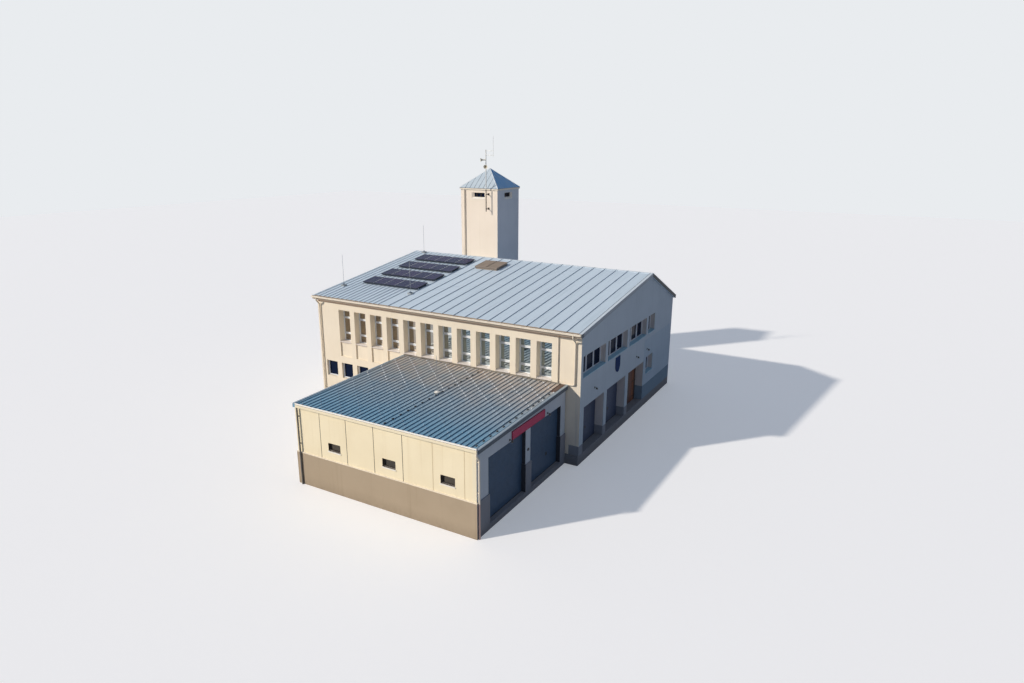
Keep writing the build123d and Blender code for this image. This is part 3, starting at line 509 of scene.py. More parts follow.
class BarRows(RepeatTree):
    """Straight bars of one tapered section, laid side by side."""

    def __init__(self) -> None:
        """Names the inputs: where a bar starts and runs, how it steps, and its section."""
        super().__init__("bar_rows", {
            "Start": SocketKind.VECTOR, "Run": SocketKind.VECTOR, "Step": SocketKind.VECTOR,
            "Count": SocketKind.COUNT, "Foot Width": SocketKind.FLOAT, "Top Width": SocketKind.FLOAT,
            "Height": SocketKind.FLOAT, "Finish": SocketKind.FINISH})

    def build(self) -> None:
        """Sweeps a trapezoid along the run and puts a copy at each point of the row."""
        row = self.line("Start", "Step", "Count")
        route = self.add("GeometryNodeCurvePrimitiveLine", mode="POINTS")
        upright = self.add("GeometryNodeSetCurveNormal", mode="Z_UP")
        section = self.add("GeometryNodeCurvePrimitiveQuadrilateral", mode="TRAPEZOID")
        section.inputs["Offset"].default_value = 0
        sweep = self.add("GeometryNodeCurveToMesh")
        sweep.inputs["Fill Caps"].default_value = True
        copies = self.add("GeometryNodeInstanceOnPoints")
        self.join((self.source, "Run", route, "End"), (route, "Curve", upright, "Curve"),
                  (self.source, "Height", section, "Height"), (upright, "Curve", sweep, "Curve"),
                  (self.source, "Top Width", section, "Top Width"),
                  (self.source, "Foot Width", section, "Bottom Width"),
                  (section, "Curve", sweep, "Profile Curve"), (row, "Mesh", copies, "Points"),
                  (sweep, "Mesh", copies, "Instance"))
        self.close(copies)


class PartRows(RepeatTree):
    """Copies of one small part in rows and columns."""

    def __init__(self) -> None:
        """Names the inputs: the part, where it starts, and both steps and counts."""
        super().__init__("part_rows", {
            "Part": SocketKind.PART, "Start": SocketKind.VECTOR, "Step": SocketKind.VECTOR,
            "Count": SocketKind.COUNT, "Row Step": SocketKind.VECTOR, "Rows": SocketKind.COUNT,
            "Origin": SocketKind.VECTOR, "Finish": SocketKind.FINISH})

    def build(self) -> None:
        """Puts a row at each point of a column, and the part at each point of the rows."""
        column = self.line("Start", "Row Step", "Rows")
        row = self.line("Origin", "Step", "Count")
        grid, copies = self.add("GeometryNodeInstanceOnPoints"), self.add("GeometryNodeInstanceOnPoints")
        flat = self.add("GeometryNodeRealizeInstances")
        part = self.add("GeometryNodeObjectInfo")
        self.join((column, "Mesh", grid, "Points"), (row, "Mesh", grid, "Instance"),
                  (grid, "Instances", flat, "Geometry"), (self.source, "Part", part, "Object"),
                  (flat, "Geometry", copies, "Points"), (part, "Geometry", copies, "Instance"))
        self.close(copies)


class Shader(Nodes):
    """Builds one material's nodes; every pattern reads Object coordinates."""

    def __init__(self, name: str) -> None:
        """Starts a material with a principled shader and its output."""
        self.material = bpy.data.materials.new(name)
        self.material.use_nodes = True
        super().__init__(self.material.node_tree)
        self.tree.nodes.clear()
        self.surface = self.add("ShaderNodeBsdfPrincipled")
        self.put(self.surface.outputs[0], self.add("ShaderNodeOutputMaterial").inputs["Surface"])
        self.place = self.add("ShaderNodeTexCoord").outputs["Object"]

    def constant(self, **values: Any) -> None:
        """Sets plain values on the shader's own sockets, named with spaces as underscores."""
        for key, value in values.items():
            self.surface.inputs[key.replace("_", " ")].default_value = value

    def feed(self, socket: str, source: Socket) -> None:
        """Links a pattern to one of the shader's sockets."""
        self.put(source, self.surface.inputs[socket])

    def noise(self, scale: float, detail: float = 4.0, stretch: Point | None = None) -> Socket:
        """A soft random pattern from 0 to 1.

        Args:
            scale: Patches in a metre.
            detail: Number of finer layers.
            stretch: Scale for each axis, where the pattern isn't even.

        Returns:
            The pattern's value.
        """
        texture = self.add("ShaderNodeTexNoise")
        self.put(scale, texture.inputs["Scale"])
        self.put(detail, texture.inputs["Detail"])
        source = self.place
        if stretch:
            mapping = self.add("ShaderNodeMapping")
            self.put(stretch, mapping.inputs["Scale"])
            self.put(self.place, mapping.inputs["Vector"])
            source = mapping.outputs["Vector"]
        self.put(source, texture.inputs["Vector"])
        return texture.outputs["Fac"]

    def remap(self, value: Socket, source: Span, target: Span = (0.0, 1.0)) -> Socket:
        """Maps a range of a value onto another, clamped at both ends."""
        node = self.add("ShaderNodeMapRange")
        names = ("Value", "From Min", "From Max", "To Min", "To Max")
        for name, item in zip(names, (value, *source, *target)):
            self.put(item, node.inputs[name])
        return node.outputs["Result"]

    def patches(self, scale: float, detail: float, reach: Span, share: float,
                stretch: Point | None = None) -> Socket:
        """A noise whose reach is mapped onto 0 to a share; the other arguments are those of noise."""
        return self.remap(self.noise(scale, detail, stretch), reach, (0.0, share))

    def rough(self, scale: float, detail: float, low: float, high: float) -> None:
        """Lets the roughness wander between two values."""
        self.feed("Roughness", self.remap(self.noise(scale, detail), (0.3, 0.7), (low, high)))

    def component(self, axis: Axis) -> Socket:
        """One of the three Object coordinates."""
        parts = self.add("ShaderNodeSeparateXYZ")
        self.put(self.place, parts.inputs[0])
        return parts.outputs[axis.value]

    def blend(self, share: Socket, first: Any, second: Any) -> Socket:
        """Mixes two colours.

        Args:
            share: 0 for the first alone, 1 for the second alone.
            first: A display code or a socket.
            second: A display code or a socket.

        Returns:
            The mixed colour.
        """
        node = self.add("ShaderNodeMix", data_type="RGBA")
        self.put(share, node.inputs["Factor"])
        for name, value in (("A", first), ("B", second)):
            target = next(s for s in node.inputs if s.name == name and s.type == "RGBA")
            self.put(tint(value) if isinstance(value, str) else value, target)
        return next(s for s in node.outputs if s.type == "RGBA")

    def zoned(self, base: Any, zones: Iterable[Zone]) -> Any:
        """Gives each zone its colour over a base colour or socket.

        Args:
            base: The colour outside the zones.
            zones: The stretches with a colour of their own.

        Returns:
            The base itself, or a socket with the zones on it.
        """
        for zone in zones:
            share: Any = 1.0
            for axis in Axis:
                limits = (("GREATER_THAN", zone.low[axis.value]), ("LESS_THAN", zone.high[axis.value]))
                for operation, limit in limits:
                    if abs(limit) < ENDLESS:
                        inside = self.math(operation, self.component(axis), limit)
                        share = self.math("MULTIPLY", inside, share)
            base = self.blend(share, base, zone.colour)
        return base

    def cell(self, value: Socket, pitch: float, origin: float) -> Socket:
        """A random value from 0 to 1 for each cell of a given width along one coordinate."""
        texture = self.add("ShaderNodeTexWhiteNoise", noise_dimensions="1D")
        number = self.math("FLOOR", self.math("DIVIDE", self.math("SUBTRACT", value, origin), pitch))
        self.put(number, texture.inputs["W"])
        return texture.outputs["Value"]

    def edge_distance(self, value: Socket, pitch: float, origin: float) -> Socket:
        """Distance to the nearest line of an even row, in metres."""
        return self.math("PINGPONG", self.math("SUBTRACT", value, origin), pitch / 2)

    def bump(self, height: Socket, distance: float, strength: float = 1.0) -> None:
        """Raises the surface by a pattern; later calls add to earlier ones.

        Args:
            height: The pattern.
            distance: Height of the relief in metres.
            strength: Share of it that shows.
        """
        node = self.add("ShaderNodeBump")
        for name, value in (("Distance", distance), ("Strength", strength), ("Height", height)):
            self.put(value, node.inputs[name])
        earlier = self.surface.inputs["Normal"].links
        if earlier:
            self.put(earlier[0].from_socket, node.inputs["Normal"])
        self.feed("Normal", node.outputs["Normal"])


@dataclass(frozen=True)
class Finish:
    """A named finish that makes its material once."""

    name: str
    base: str
    zones: tuple[Zone, ...] = field(default=(), kw_only=True)

    def material(self) -> Material:
        """The finish's material, made on the first call."""
        if self not in MATERIALS:
            MATERIALS[self] = self.build()
        return MATERIALS[self]

    def build(self) -> Material:
        """Makes the material; each kind of finish has its own."""
        raise NotImplementedError


MATERIALS: dict[Finish, Material] = {}


@dataclass(frozen=True)
class Render(Finish):
    """Painted render on masonry: faint mottling, rain streaks and a fine grain.

    The stain is the colour of rain streaks and of dust near the ground. Where a band is
    given, the wall has the band's colour below that height.
    """

    stain: str = "#b3a68f"
    streaks: float = 0.35
    mottling: float = 0.16
    dust: str = "#77695a"
    dust_top: float = 0.7
    band_top: float = 0.0
    band: str = "#9a9389"

    def build(self) -> Material:
        """Makes the render's material."""
        shader = Shader(self.name)
        height = shader.component(Axis.Z)
        wall = shader.blend(shader.patches(0.55, 6, (0.35, 0.7), self.mottling),
                            shader.zoned(self.base, self.zones), self.stain)
        if self.band_top > 0:
            waver = shader.math("MULTIPLY", shader.noise(3.0, 2), 0.02)
            below = shader.math("LESS_THAN", shader.math("ADD", height, waver), self.band_top)
            wall = shader.blend(below, wall, self.band)
        streaks = shader.patches(1.0, 5, (0.56, 0.8), self.streaks, (4.5, 4.5, 0.16))
        wall = shader.blend(streaks, wall, self.stain)
        splash = shader.math("MULTIPLY", shader.remap(height, (self.dust_top, 0.0), (0.0, 0.55)),
                             shader.noise(5.0, 5), clamp=True)
        shader.feed("Base Color", shader.blend(splash, wall, self.dust))
        shader.rough(9.0, 3, 0.82, 0.95)
        shader.bump(shader.noise(140.0, 3), 0.0016, 0.5)
        shader.bump(shader.noise(7.0, 4), 0.004, 0.25)
        shader.constant(Specular_IOR_Level=0.25)
        return shader.material


@dataclass(frozen=True)
class SeamedSheet(Finish):
    """Coated roof sheet in trays between seams, with run-off streaks down the slope.

    The trays are pitch wide up to the place of change and far_pitch wide beyond it. Each
    seam or rib has a darker line of its own colour beside it, which is painted shade, and the
    sheet turns warm over a span of X.
    """

    streak: str = "#8d9ba8"
    pitch: float = 0.92
    origin: float = 0.0
    change: float = ENDLESS
    far_pitch: float = 0.53
    # line, seam_shade_share, seam_shade_reach and far_seam_shade set the painted shade beside the seams and
    # ribs.
    line: str = "#5d7186"
    seam_shade_share: float = 0.4
    seam_shade_reach: Span = (0.05, 0.015)
    far_seam_shade: float = 1.0
    warm: str = "#a39c8c"
    warm_share: float = 0.75
    warm_span: Span = (ENDLESS, 2 * ENDLESS)
    gloss: float = 0.42
    sheen: float = 0.35

    def build(self) -> Material:
        """Makes the sheet's material."""
        shader = Shader(self.name)
        across = shader.component(Axis.Y)
        near = shader.math("LESS_THAN", across, self.change)
        tone = self.either(shader, near, shader.cell(across, self.pitch, self.origin),
                           shader.cell(across, self.far_pitch, self.change))
        sheet = shader.blend(shader.remap(tone, (0.0, 1.0), (0.0, 0.2)), self.base, self.streak)
        sheet = shader.blend(shader.patches(1.0, 5, (0.5, 0.78), 0.5, (0.22, 7.0, 1.0)), sheet, self.streak)
        warmth = shader.math("MULTIPLY",
                             shader.remap(shader.component(Axis.X), self.warm_span, (0.0, self.warm_share)),
                             shader.remap(shader.noise(0.7, 4), (0.3, 0.62), (0.6, 1.0)), clamp=True)
        sheet = shader.blend(warmth, sheet, self.warm)
        # Painted shade: darker towards each seam or rib, and weaker beyond the change by far_seam_shade.
        seam = self.either(shader, near, shader.edge_distance(across, self.pitch, self.origin),
                           shader.edge_distance(across, self.far_pitch, self.change))
        line = shader.math("MULTIPLY", shader.remap(seam, self.seam_shade_reach, (0.0, self.seam_shade_share)),
                           self.either(shader, near, 1.0, self.far_seam_shade))
        sheet = shader.blend(line, sheet, self.line)
        shader.feed("Base Color", shader.zoned(sheet, self.zones))
        shader.rough(3.0, 4, self.gloss - 0.08, self.gloss + 0.1)
        shader.bump(shader.noise(1.1, 2), 0.02, 0.35)
        shader.bump(shader.noise(60.0, 2), 0.0006, 0.3)
        shader.constant(Metallic=0.15, Specular_IOR_Level=self.sheen)
        return shader.material

    @staticmethod
    def either(shader: Shader, near: Socket, first: Any, second: Any) -> Socket:
        """Takes the first value where near is 1 and the second where it is 0."""
        rest = shader.math("MULTIPLY", shader.math("SUBTRACT", 1.0, near), second)
        return shader.math("ADD", shader.math("MULTIPLY", near, first), rest)


@dataclass(frozen=True)
class Paint(Finish):
    """Paint or coating on metal, with a faint orange peel, dust and small chips."""

    dirt: str = "#6d6a64"
    dirt_share: float = 0.18
    rough: float = 0.42
    metal: float = 0.0
    ribs: float = 0.0
    sheen: float = 0.4

    def build(self) -> Material:
        """Makes the paint's material."""
        shader = Shader(self.name)
        dust = shader.patches(2.2, 5, (0.42, 0.75), self.dirt_share)
        coat = shader.blend(dust, self.ground(shader), self.dirt)
        runs = shader.patches(1.0, 4, (0.6, 0.8), self.dirt_share, (9.0, 9.0, 0.5))
        shader.feed("Base Color", shader.blend(runs, coat, self.dirt))
        shader.rough(12.0, 3, self.rough - 0.06, self.rough + 0.1)
        shader.bump(shader.noise(220.0, 2), 0.0004, 0.4)
        if self.ribs > 0:
            wave = shader.edge_distance(shader.component(Axis.Z), self.ribs, 0.0)
            shader.bump(shader.remap(wave, (0.0, 0.012)), 0.004, 0.8)
        shader.constant(Metallic=self.metal, Specular_IOR_Level=self.sheen)
        return shader.material

    def ground(self, shader: Shader) -> Any:
        """The coat's colour before dust and dirt."""
        return shader.zoned(self.base, self.zones)


@dataclass(frozen=True)
class HippedSheet(Paint):
    """Coated sheet on a pyramid round a centre, whose front slope has another colour: painted shade and
    painted sky reflection.
    """

    centre: Span = (0.0, 0.0)
    front: str = "#ffffff"

    def ground(self, shader: Shader) -> Any:
        """The sheet's colour, with the front slope's painted shade and sky reflection."""
        ahead = shader.math("SUBTRACT", self.centre[1], shader.component(Axis.Y))
        aside = shader.math("ABSOLUTE", shader.math("SUBTRACT", shader.component(Axis.X), self.centre[0]))
        return shader.blend(shader.math("GREATER_THAN", ahead, aside), self.base, self.front)


@dataclass(frozen=True)
class BareMetal(Finish):
    """Galvanised or mill finished metal with a cloudy surface."""

    rough: float = 0.38
    crystal: str = "#7d8488"

    def build(self) -> Material:
        """Makes the metal's material."""
        shader = Shader(self.name)
        crystals = shader.add("ShaderNodeTexVoronoi")
        shader.put(60.0, crystals.inputs["Scale"])
        shader.put(shader.place, crystals.inputs["Vector"])
        tone = shader.remap(crystals.outputs["Distance"], (0.0, 0.7), (0.0, 0.45))
        shader.feed("Base Color", shader.blend(tone, self.base, self.crystal))
        shader.rough(8.0, 4, self.rough - 0.08, self.rough + 0.14)
        shader.bump(shader.noise(90.0, 3), 0.0004, 0.4)
        shader.constant(Metallic=0.85)
        return shader.material


@dataclass(frozen=True)
class Pane(Finish):
    """Window glass over a dim interior, which mirrors what stands around it.

    Beyond the change along Y the panes take the far colour, which is a painted reflection.
    """

    depth: str = "#1a2230"
    far: str = ""
    change: Span = (0.0, 1.0)
    mirror: float = 0.0
    index: float = 1.25

    def build(self) -> Material:
        """Makes the glass's material."""
        shader = Shader(self.name)
        room_and_reflection = shader.blend(shader.patches(0.9, 3, (0.3, 0.75), 0.4),
                            shader.zoned(self.base, self.zones), self.depth)
        if self.far:
            # Painted reflection: the far colour beyond the change along Y.
            room_and_reflection = shader.blend(shader.remap(shader.component(Axis.Y), self.change), room_and_reflection, self.far)
        shader.feed("Base Color", room_and_reflection)
        shader.bump(shader.noise(0.8, 1), 0.001, 0.1)
        shader.constant(Roughness=0.012, Metallic=self.mirror, IOR=self.index)
        return shader.material


@dataclass(frozen=True)
class Collector(Finish):
    """Glazed solar collector: dark absorber strips under prismatic glass."""

    warm: str = "#443f68"
    cold: str = "#2b4a5a"
    gap: str = "#090c13"
    strip: float = 0.115
    panel: float = 1.03
    origin: float = 0.0

    def build(self) -> Material:
        """Makes the collector's material."""
        shader = Shader(self.name)
        along = shader.component(Axis.Y)
        tone = shader.cell(along, self.panel, self.origin)
        body = shader.blend(shader.remap(tone, (0.0, 1.0), (0.0, 0.8)), self.base, self.warm)
        body = shader.blend(shader.patches(1.5, 3, (0.3, 0.7), 0.3), body, self.cold)
        line = shader.remap(shader.edge_distance(along, self.strip, self.origin), (0.012, 0.004), (0.0, 0.6))
        shader.feed("Base Color", shader.blend(line, body, self.gap))
        shader.rough(6.0, 3, 0.2, 0.32)
        shader.constant(IOR=1.09)
        return shader.material


@dataclass(frozen=True)
class Timber(Finish):
    """Stained boards with an upright grain and a tone of its own for each board."""

    grain: str = "#2c130c"
    board: float = 0.13
    origin: float = 0.0

    def build(self) -> Material:
        """Makes the timber's material."""
        shader = Shader(self.name)
        tone = shader.cell(shader.component(Axis.X), self.board, self.origin)
        wood = shader.blend(shader.remap(tone, (0.0, 1.0), (0.0, 0.35)), shader.zoned(self.base, self.zones),
                            self.grain)
        fibres = shader.patches(1.0, 8, (0.42, 0.68), 0.6, (60.0, 60.0, 1.6))
        shader.feed("Base Color", shader.blend(fibres, wood, self.grain))
        shader.rough(10.0, 3, 0.5, 0.68)
        shader.bump(shader.noise(1.0, 8, (80.0, 80.0, 2.0)), 0.0012, 0.5)
        return shader.material


class Coats:
    """Every finish of the building, each under the name of what it covers."""

    # The zone above z 8.25 paints the top of the wall peach. This is painted shade, so the band in the eave's
    # shadow renders brown.
    cream = Render("hall_side_render", "#f0e6d3", stain="#cdbfa6", streaks=0.22, zones=(
        Zone.past("#f3d7bb", z=8.25),))
    cream_back = Render("hall_back_render", "#e9dcc6", stain="#c4b499", streaks=0.3)
    annex_cream = Render("annex_side_render", "#f5eacc", stain="#cdb98e", streaks=0.2)
    # Painted shade: the front faces' renders are the cream render painted bluish grey, as it looks in shade.
    # The zones give the side faces their cream back, and the reveals past y 0.02 a greyer cream, which is
    # also painted shade. The bands are the plinth in the same painted shade.
    sides = (Zone.past("#d9d2cd", y=0.02), Zone.before("#f0e6d3", x=0.105),
             Zone.past("#e9dcc6", x=18.495))
    front = Render("front_render", "#c3cfd8", stain="#9aa6af", streaks=0.28, zones=sides)
    front_piers = Render("front_pier_render", "#c3cfd8", stain="#9aa6af", band_top=1.30, band="#8d9198",
                         zones=sides)
    # Darker and bluer again: painted shade, with the shadow of the trees in front of this part of the wall.
    front_right = Render("front_right_render", "#b9c9d5", stain="#93a3b0", band_top=1.74, band="#7f93a3",
                         zones=sides)
    # The annex's front is painted bluish grey as well, as painted shade. The zone gives its end face the
    # side's cream.
    annex_front = Render("annex_front_render", "#c9d1d8", stain="#a3abb2", streaks=0.3, zones=(
        Zone.before("#f5eacc", x=-10.295),))
    # The zone paints the plinth's front faces, short of y 1.3, bluish grey. This is painted shade.
    plinth = Render("annex_plinth_render", "#b2a28c", stain="#908069", streaks=0.3, zones=(
        Zone("#8b8f98", low=(-10.355, -ENDLESS, -ENDLESS), high=(ENDLESS, 1.3, ENDLESS)),))
    foundation = Render("foundation_render", "#85878c", stain="#64666a", streaks=0.35)
    concrete = Render("floor_concrete", "#9a9894", stain="#77746e", streaks=0.2)
    tower = Render("tower_render", "#f7ebdb", stain="#d6c8b3", streaks=0.2)
    # Painted shade: the tower's front face is its cream render painted bluish grey. The zones give the other
    # faces their cream back.
    tower_front = Render("tower_front_render", "#d9dde2", stain="#b3b8be", streaks=0.2, zones=(
        Zone.before("#f7ebdb", x=14.785), Zone.past("#f7ebdb", x=18.495),
        Zone.past("#f7ebdb", y=16.5)))
    # The hall sheet's zone below z 8.66 and short of x 0 is the roof's edge and soffit over the left eave.
    # Its tan tone is partly real and partly painted shade, set so that the edge in the eave's shadow renders
    # brown.
    hall_sheet = SeamedSheet("hall_roof_sheet", "#cfe0ee", streak="#b3c5d3", line="#74869a", far_seam_shade=0.4,
                             gloss=0.62, sheen=0.16, zones=(Zone.before("#bcad9c", x=0.0, z=8.66),))
    annex_sheet = SeamedSheet("annex_roof_sheet", "#7ba7c3", streak="#6087a1", line="#5a7e98", seam_shade_share=0.3,
                              seam_shade_reach=(0.09, 0.03), warm="#d0c1b3", warm_share=0.95, gloss=0.56,
                              sheen=0.2)
    # The tower sheet's saturated blue front slope is painted shade and painted sky reflection.
    tower_sheet = HippedSheet("tower_roof_sheet", "#c3d2dd", dirt="#9fb3c4", dirt_share=0.3, rough=0.4,
                              sheen=0.14, centre=(16.64, 16.56), front="#46a3dd")
    # The pale seam coat is a painted highlight that shows the seams and hips on the shaded slopes. The dark
    # coat is painted shade on the seams of the sunlit left face.
    tower_seam = Paint("tower_roof_seam", "#e2ebf1", dirt="#a3b7c6", rough=0.35)
    tower_seam_painted_shade = Paint("tower_roof_seam_dark", "#7b8894", dirt="#5c6873", rough=0.5)
    seam = Paint("roof_seam", "#a9bac9", dirt="#71839a", dirt_share=0.4, rough=0.4, metal=0.2)
    pale_seam = Paint("roof_seam_pale", "#c3d2df", dirt="#9aaab8", dirt_share=0.3, rough=0.4, metal=0.2)
    # A dark coat that paints the shadow line along the verge folds and under the tower roof's drip edge. The
    # hall's rod weights take the same coat.
    fold = Paint("roof_fold_dark", "#56667a", dirt="#3f4a58", rough=0.5)
    verge_sheet = Paint("verge_sheet", "#d3e0ea", dirt="#9cadbb", rough=0.4, metal=0.1)
    annex_verge = Paint("annex_verge_sheet", "#a4b5c2", dirt="#7c8b98", rough=0.4, metal=0.2)
    # The verge board's zones are painted shade: darker where it runs over the annex, and dark navy along the
    # right slope's verge.
    board = Paint("verge_board", "#9aa4af", dirt="#79838e", rough=0.6, zones=(
        Zone.before("#4b5662", x=0.0), Zone.past("#1c232c", x=12.42)))
    upstand = Paint("wall_upstand", "#8f8a80", dirt="#575048", dirt_share=0.8, rough=0.7)
    rust = Paint("rusty_flashing", "#75655c", dirt="#54413a", dirt_share=0.6, rough=0.8, sheen=0.2, zones=(
        Zone.past("#33211d", y=1.27),))
    guard = Paint("guard_white", "#dfe5ea", dirt="#aab2ba", rough=0.3, zones=(
        Zone.before("#a9bccb", x=-4.6), Zone.before("#8aa6bb", x=-6.6)))
    trim = Paint("trim_cream", "#e9dfcd", dirt="#b5a88f")
    # Zones of the annex gutter: its lower outer face in the wall's cream, a dark line under the bead that is
    # painted shadow, and painted shade inside the trough near the roof's edge.
    annex_gutter = Paint("annex_gutter_coat", "#fbf9f5", dirt="#d9d3c6", zones=(
        Zone.before("#f2e7c9", x=-10.4, z=5.05), Zone("#8d8574", low=(-ENDLESS, -ENDLESS, 5.05),
                                                           high=(-10.4, ENDLESS, 5.072)),
        Zone.past("#5d5f6b", x=-10.37)))
    eave = Paint("eave_strip_beige", "#a8957f", dirt="#7d6b57", dirt_share=0.5, rough=0.55)
    joint = Paint("panel_joint", "#62584a", dirt="#443b30", dirt_share=0.4, rough=0.8)
    faint_joint = Paint("panel_joint_faint", "#cfbe9c", dirt="#b3a283", dirt_share=0.4, rough=0.8)
    white_trim = Paint("white_trim", "#f6f3ea", dirt="#c9c0ae")
    pipe = Paint("downpipe_cream", "#e9dfcd", dirt="#b5a88f", zones=(
        Zone("#5b5a58", low=(-ENDLESS, 12.0, -ENDLESS), high=(-10.0, ENDLESS, ENDLESS)),
        Zone.before("#d0b0a6", x=-10.0, y=2.0, z=2.0)))
    window_coat = Paint("window_frame_white", "#e9eef4", dirt="#b9bfc6", dirt_share=0.1, rough=0.35, zones=(
        Zone.before("#3d342f", x=-9.9), Zone.past("#3f3e42", z=14.0)))
    frame_white = Paint("sash_white", "#edf1f6", dirt="#bcc2c9", dirt_share=0.1, rough=0.35)
    frame_dark = Paint("sash_dark", "#3d3834", dirt="#28241f", rough=0.5)
    # A dark brown coat for the linings in the annex windows' reveals, which is painted shade.
    lining = Paint("window_lining", "#4a3d34", dirt="#2e251f", rough=0.7)
    sill = Paint("sill_sheet", "#f1ebe6", dirt="#b9afa8", rough=0.38, zones=(
        Zone.before("#a6d3e6", y=0.4),))
    door = Paint("hall_door_blue", "#3b4760", dirt="#2e3745", dirt_share=0.3, rough=0.5, ribs=0.125,
                 sheen=0.3)
    annex_door = Paint("annex_door_blue", "#334c67", dirt="#283849", dirt_share=0.3, rough=0.5, ribs=0.125,
                       sheen=0.3)
    door_dark = Paint("door_trim_dark", "#222833", dirt="#2c3038", rough=0.7)
    holder_dark = Paint("conductor_block_dark", "#2b3036", dirt="#3c4046", rough=0.8)
    rubber = Paint("door_seal_rubber", "#101215", dirt="#24262a", rough=0.8)
    steel_black = Paint("hinge_black", "#1d1d1f", dirt="#4a3a30", dirt_share=0.25, rough=0.55)
    lamp = Paint("lamp_dark", "#1f2226", dirt="#3b3d40", rough=0.4)
    lamp_lens = Paint("lamp_lens", "#d9d4c4", dirt="#aaa38f", rough=0.25)
    badge = Paint("badge_coat", "#1b3360", dirt="#142647", rough=0.6, sheen=0.04)
    badge_rim = Paint("badge_rim", "#2c4470", dirt="#1b2c4e", rough=0.6, sheen=0.04)
    sign = Paint("sign_coat", "#bd3f63", dirt="#9a2d4c", rough=0.45, sheen=0.2)
    sign_rim = Paint("sign_rim", "#a3314f", dirt="#83233c", rough=0.45, sheen=0.2)
    hatch = Paint("hatch_coat", "#94877b", dirt="#6f655c", dirt_share=0.3, rough=0.6, sheen=0.25)
    horn = Paint("horn_coat", "#e4dcc8", dirt="#ab9f86", rough=0.4)
    # The zone paints the mast dark brown below z 15.9. This is painted shade, where the pole shows dark
    # against the sunlit wall.
    mast = Paint("mast_coat", "#d8d8d4", dirt="#9a9a95", rough=0.4, metal=0.2, zones=(
        Zone.before("#3b2f2a", z=15.9),))
    rim = Paint("collector_rim", "#2c3340", dirt="#1e242e", rough=0.4, metal=0.2)
    rail = BareMetal("mill_aluminium", "#c9ced2")
    zinc = BareMetal("galvanised_steel", "#a9aeb1", rough=0.45)
    # The tall panes' far colour, past y 9 to 12.5, is a painted reflection of the darker ground those panes
    # mirror.
    tall_glass = Pane("tall_window_pane", "#a4b2b8", depth="#8d999e", far="#a69d91", change=(9.0, 12.5),
                      mirror=0.94, index=1.6)
    glass = Pane("window_pane", "#0f1c38", index=1.1, zones=(Zone.before("#5b564e", x=-9.9),))
    collector = Collector("collector_pane", "#343a5e")
    left_timber = Timber("left_leaf_timber", "#42201c", grain="#1e0f0d")
    # The right leaf's dark ends, short of x 10.7 and past x 11.56, are painted shadow of the jambs. The band
    # short of x 11.15 is boards of a darker stain.
    right_timber = Timber("right_leaf_timber", "#7a4a2e", grain="#3a2014", zones=(
        Zone.before("#54291f", x=11.15), Zone.before("#2a1a19", x=10.7),
        Zone.past("#2a1a19", x=11.56)))
    frame_timber = Timber("door_frame_timber", "#15100f", grain="#0a0807")


@dataclass(frozen=True)
class Rows:
    """Places of a part's copies: a row, and more rows beside it."""

    start: Sequence[float]
    step: Sequence[float]
    count: int
    row_step: Sequence[float] = (0, 0, 0)
    rows: int = 1


@dataclass(frozen=True)
class Section:
    """Cross section of a seam or rib, in metres."""

    foot: float
    top: float
    height: float


@cache
def tree_of(kind: type[RepeatTree]) -> RepeatTree:
    """The one tree of a kind, built when it is first asked for."""
    return kind()


@dataclass
class SubAssembly:
    """A group of pieces of the building that are made together."""

    made: list[Piece] = field(default_factory=list)

    def keep(self, piece: Piece, finish: Finish, body: str = BUILDING) -> Piece:
        """Gives a piece its finish and the body that it moves with.

        Args:
            piece: The finished mesh object.
            finish: The finish of its surface.
            body: The body that it rides on.

        Returns:
            The same piece.
        """
        piece.data.materials.clear()
        piece.data.materials.append(finish.material())
        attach(piece, body)
        self.made.append(piece)
        return piece

    def add(self, name: str, draft: Draft, finish: Finish, slot: str, body: str = BUILDING, *,
            turn: Matrix = Matrix.Identity(4), rows: Rows | None = None, edge: float = 0.0) -> Piece:
        """Makes a draft a piece of its own.

        Args:
            name: Name of the piece.
            draft: Its faces.
            finish: The finish of its surface.
            slot: The record's slot for that finish; not used.
            body: The body that it rides on.
            turn: A matrix for the points, where they were drafted in another place.
            rows: Places of its copies, where the draft is repeated.
            edge: Radius of its edges, where they are rounded.

        Returns:
            The finished piece.
        """
        piece = draft.to_object(name + "_part" if rows else name, turn)
        if rows:
            part = piece
            piece = tree_of(PartRows).make(name, {
                "Part": part, "Start": tuple(rows.start), "Step": tuple(rows.step), "Count": rows.count,
                "Row Step": tuple(rows.row_step), "Rows": rows.rows, "Origin": (0.0, 0.0, 0.0),
                "Finish": finish.material()})
            bpy.data.objects.remove(part)
        if edge:
            round_edges(piece, edge)
        return self.keep(piece, finish, body)

    def bars(self, name: str, plane: RoofPlane, end: float, section: Section, row: tuple[float, float, int],
             finish: Finish, slot: str) -> None:
        """Lays bars up a roof slope, side by side.

        Args:
            name: Name of the piece.
            plane: The slope.
            end: Place along X where the bars end.
            section: Their cross section.
            row: Place of the first along Y, step to the next, and number.
            finish: The finish of their surface.
            slot: The record's slot for that finish; not used.
        """
        first, pitch, count = row
        start = plane.point(plane.low_x, first, section.height / 2 - SUNK)
        self.keep(tree_of(BarRows).make(name, {
            "Start": tuple(start), "Run": tuple(plane.slope(end - plane.low_x)), "Step": (0.0, pitch, 0.0),
            "Count": count, "Foot Width": section.foot, "Top Width": section.top, "Height": section.height,
            "Finish": finish.material()}), finish)

    @staticmethod
    def dress(finish: Finish, *nodes: str) -> None:
        """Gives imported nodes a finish."""
        for node in nodes:
            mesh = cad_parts[node].data
            mesh.materials.clear()
            mesh.materials.append(finish.material())

    def build(self) -> None:
        """Makes the pieces; each sub-assembly has its own."""
        raise NotImplementedError

    def report(self) -> None:
        """Logs each piece with its number of faces."""
        for piece in self.made:
            LOG.info("%s: %s, %d faces", type(self).__name__, piece.name, len(piece.data.polygons))


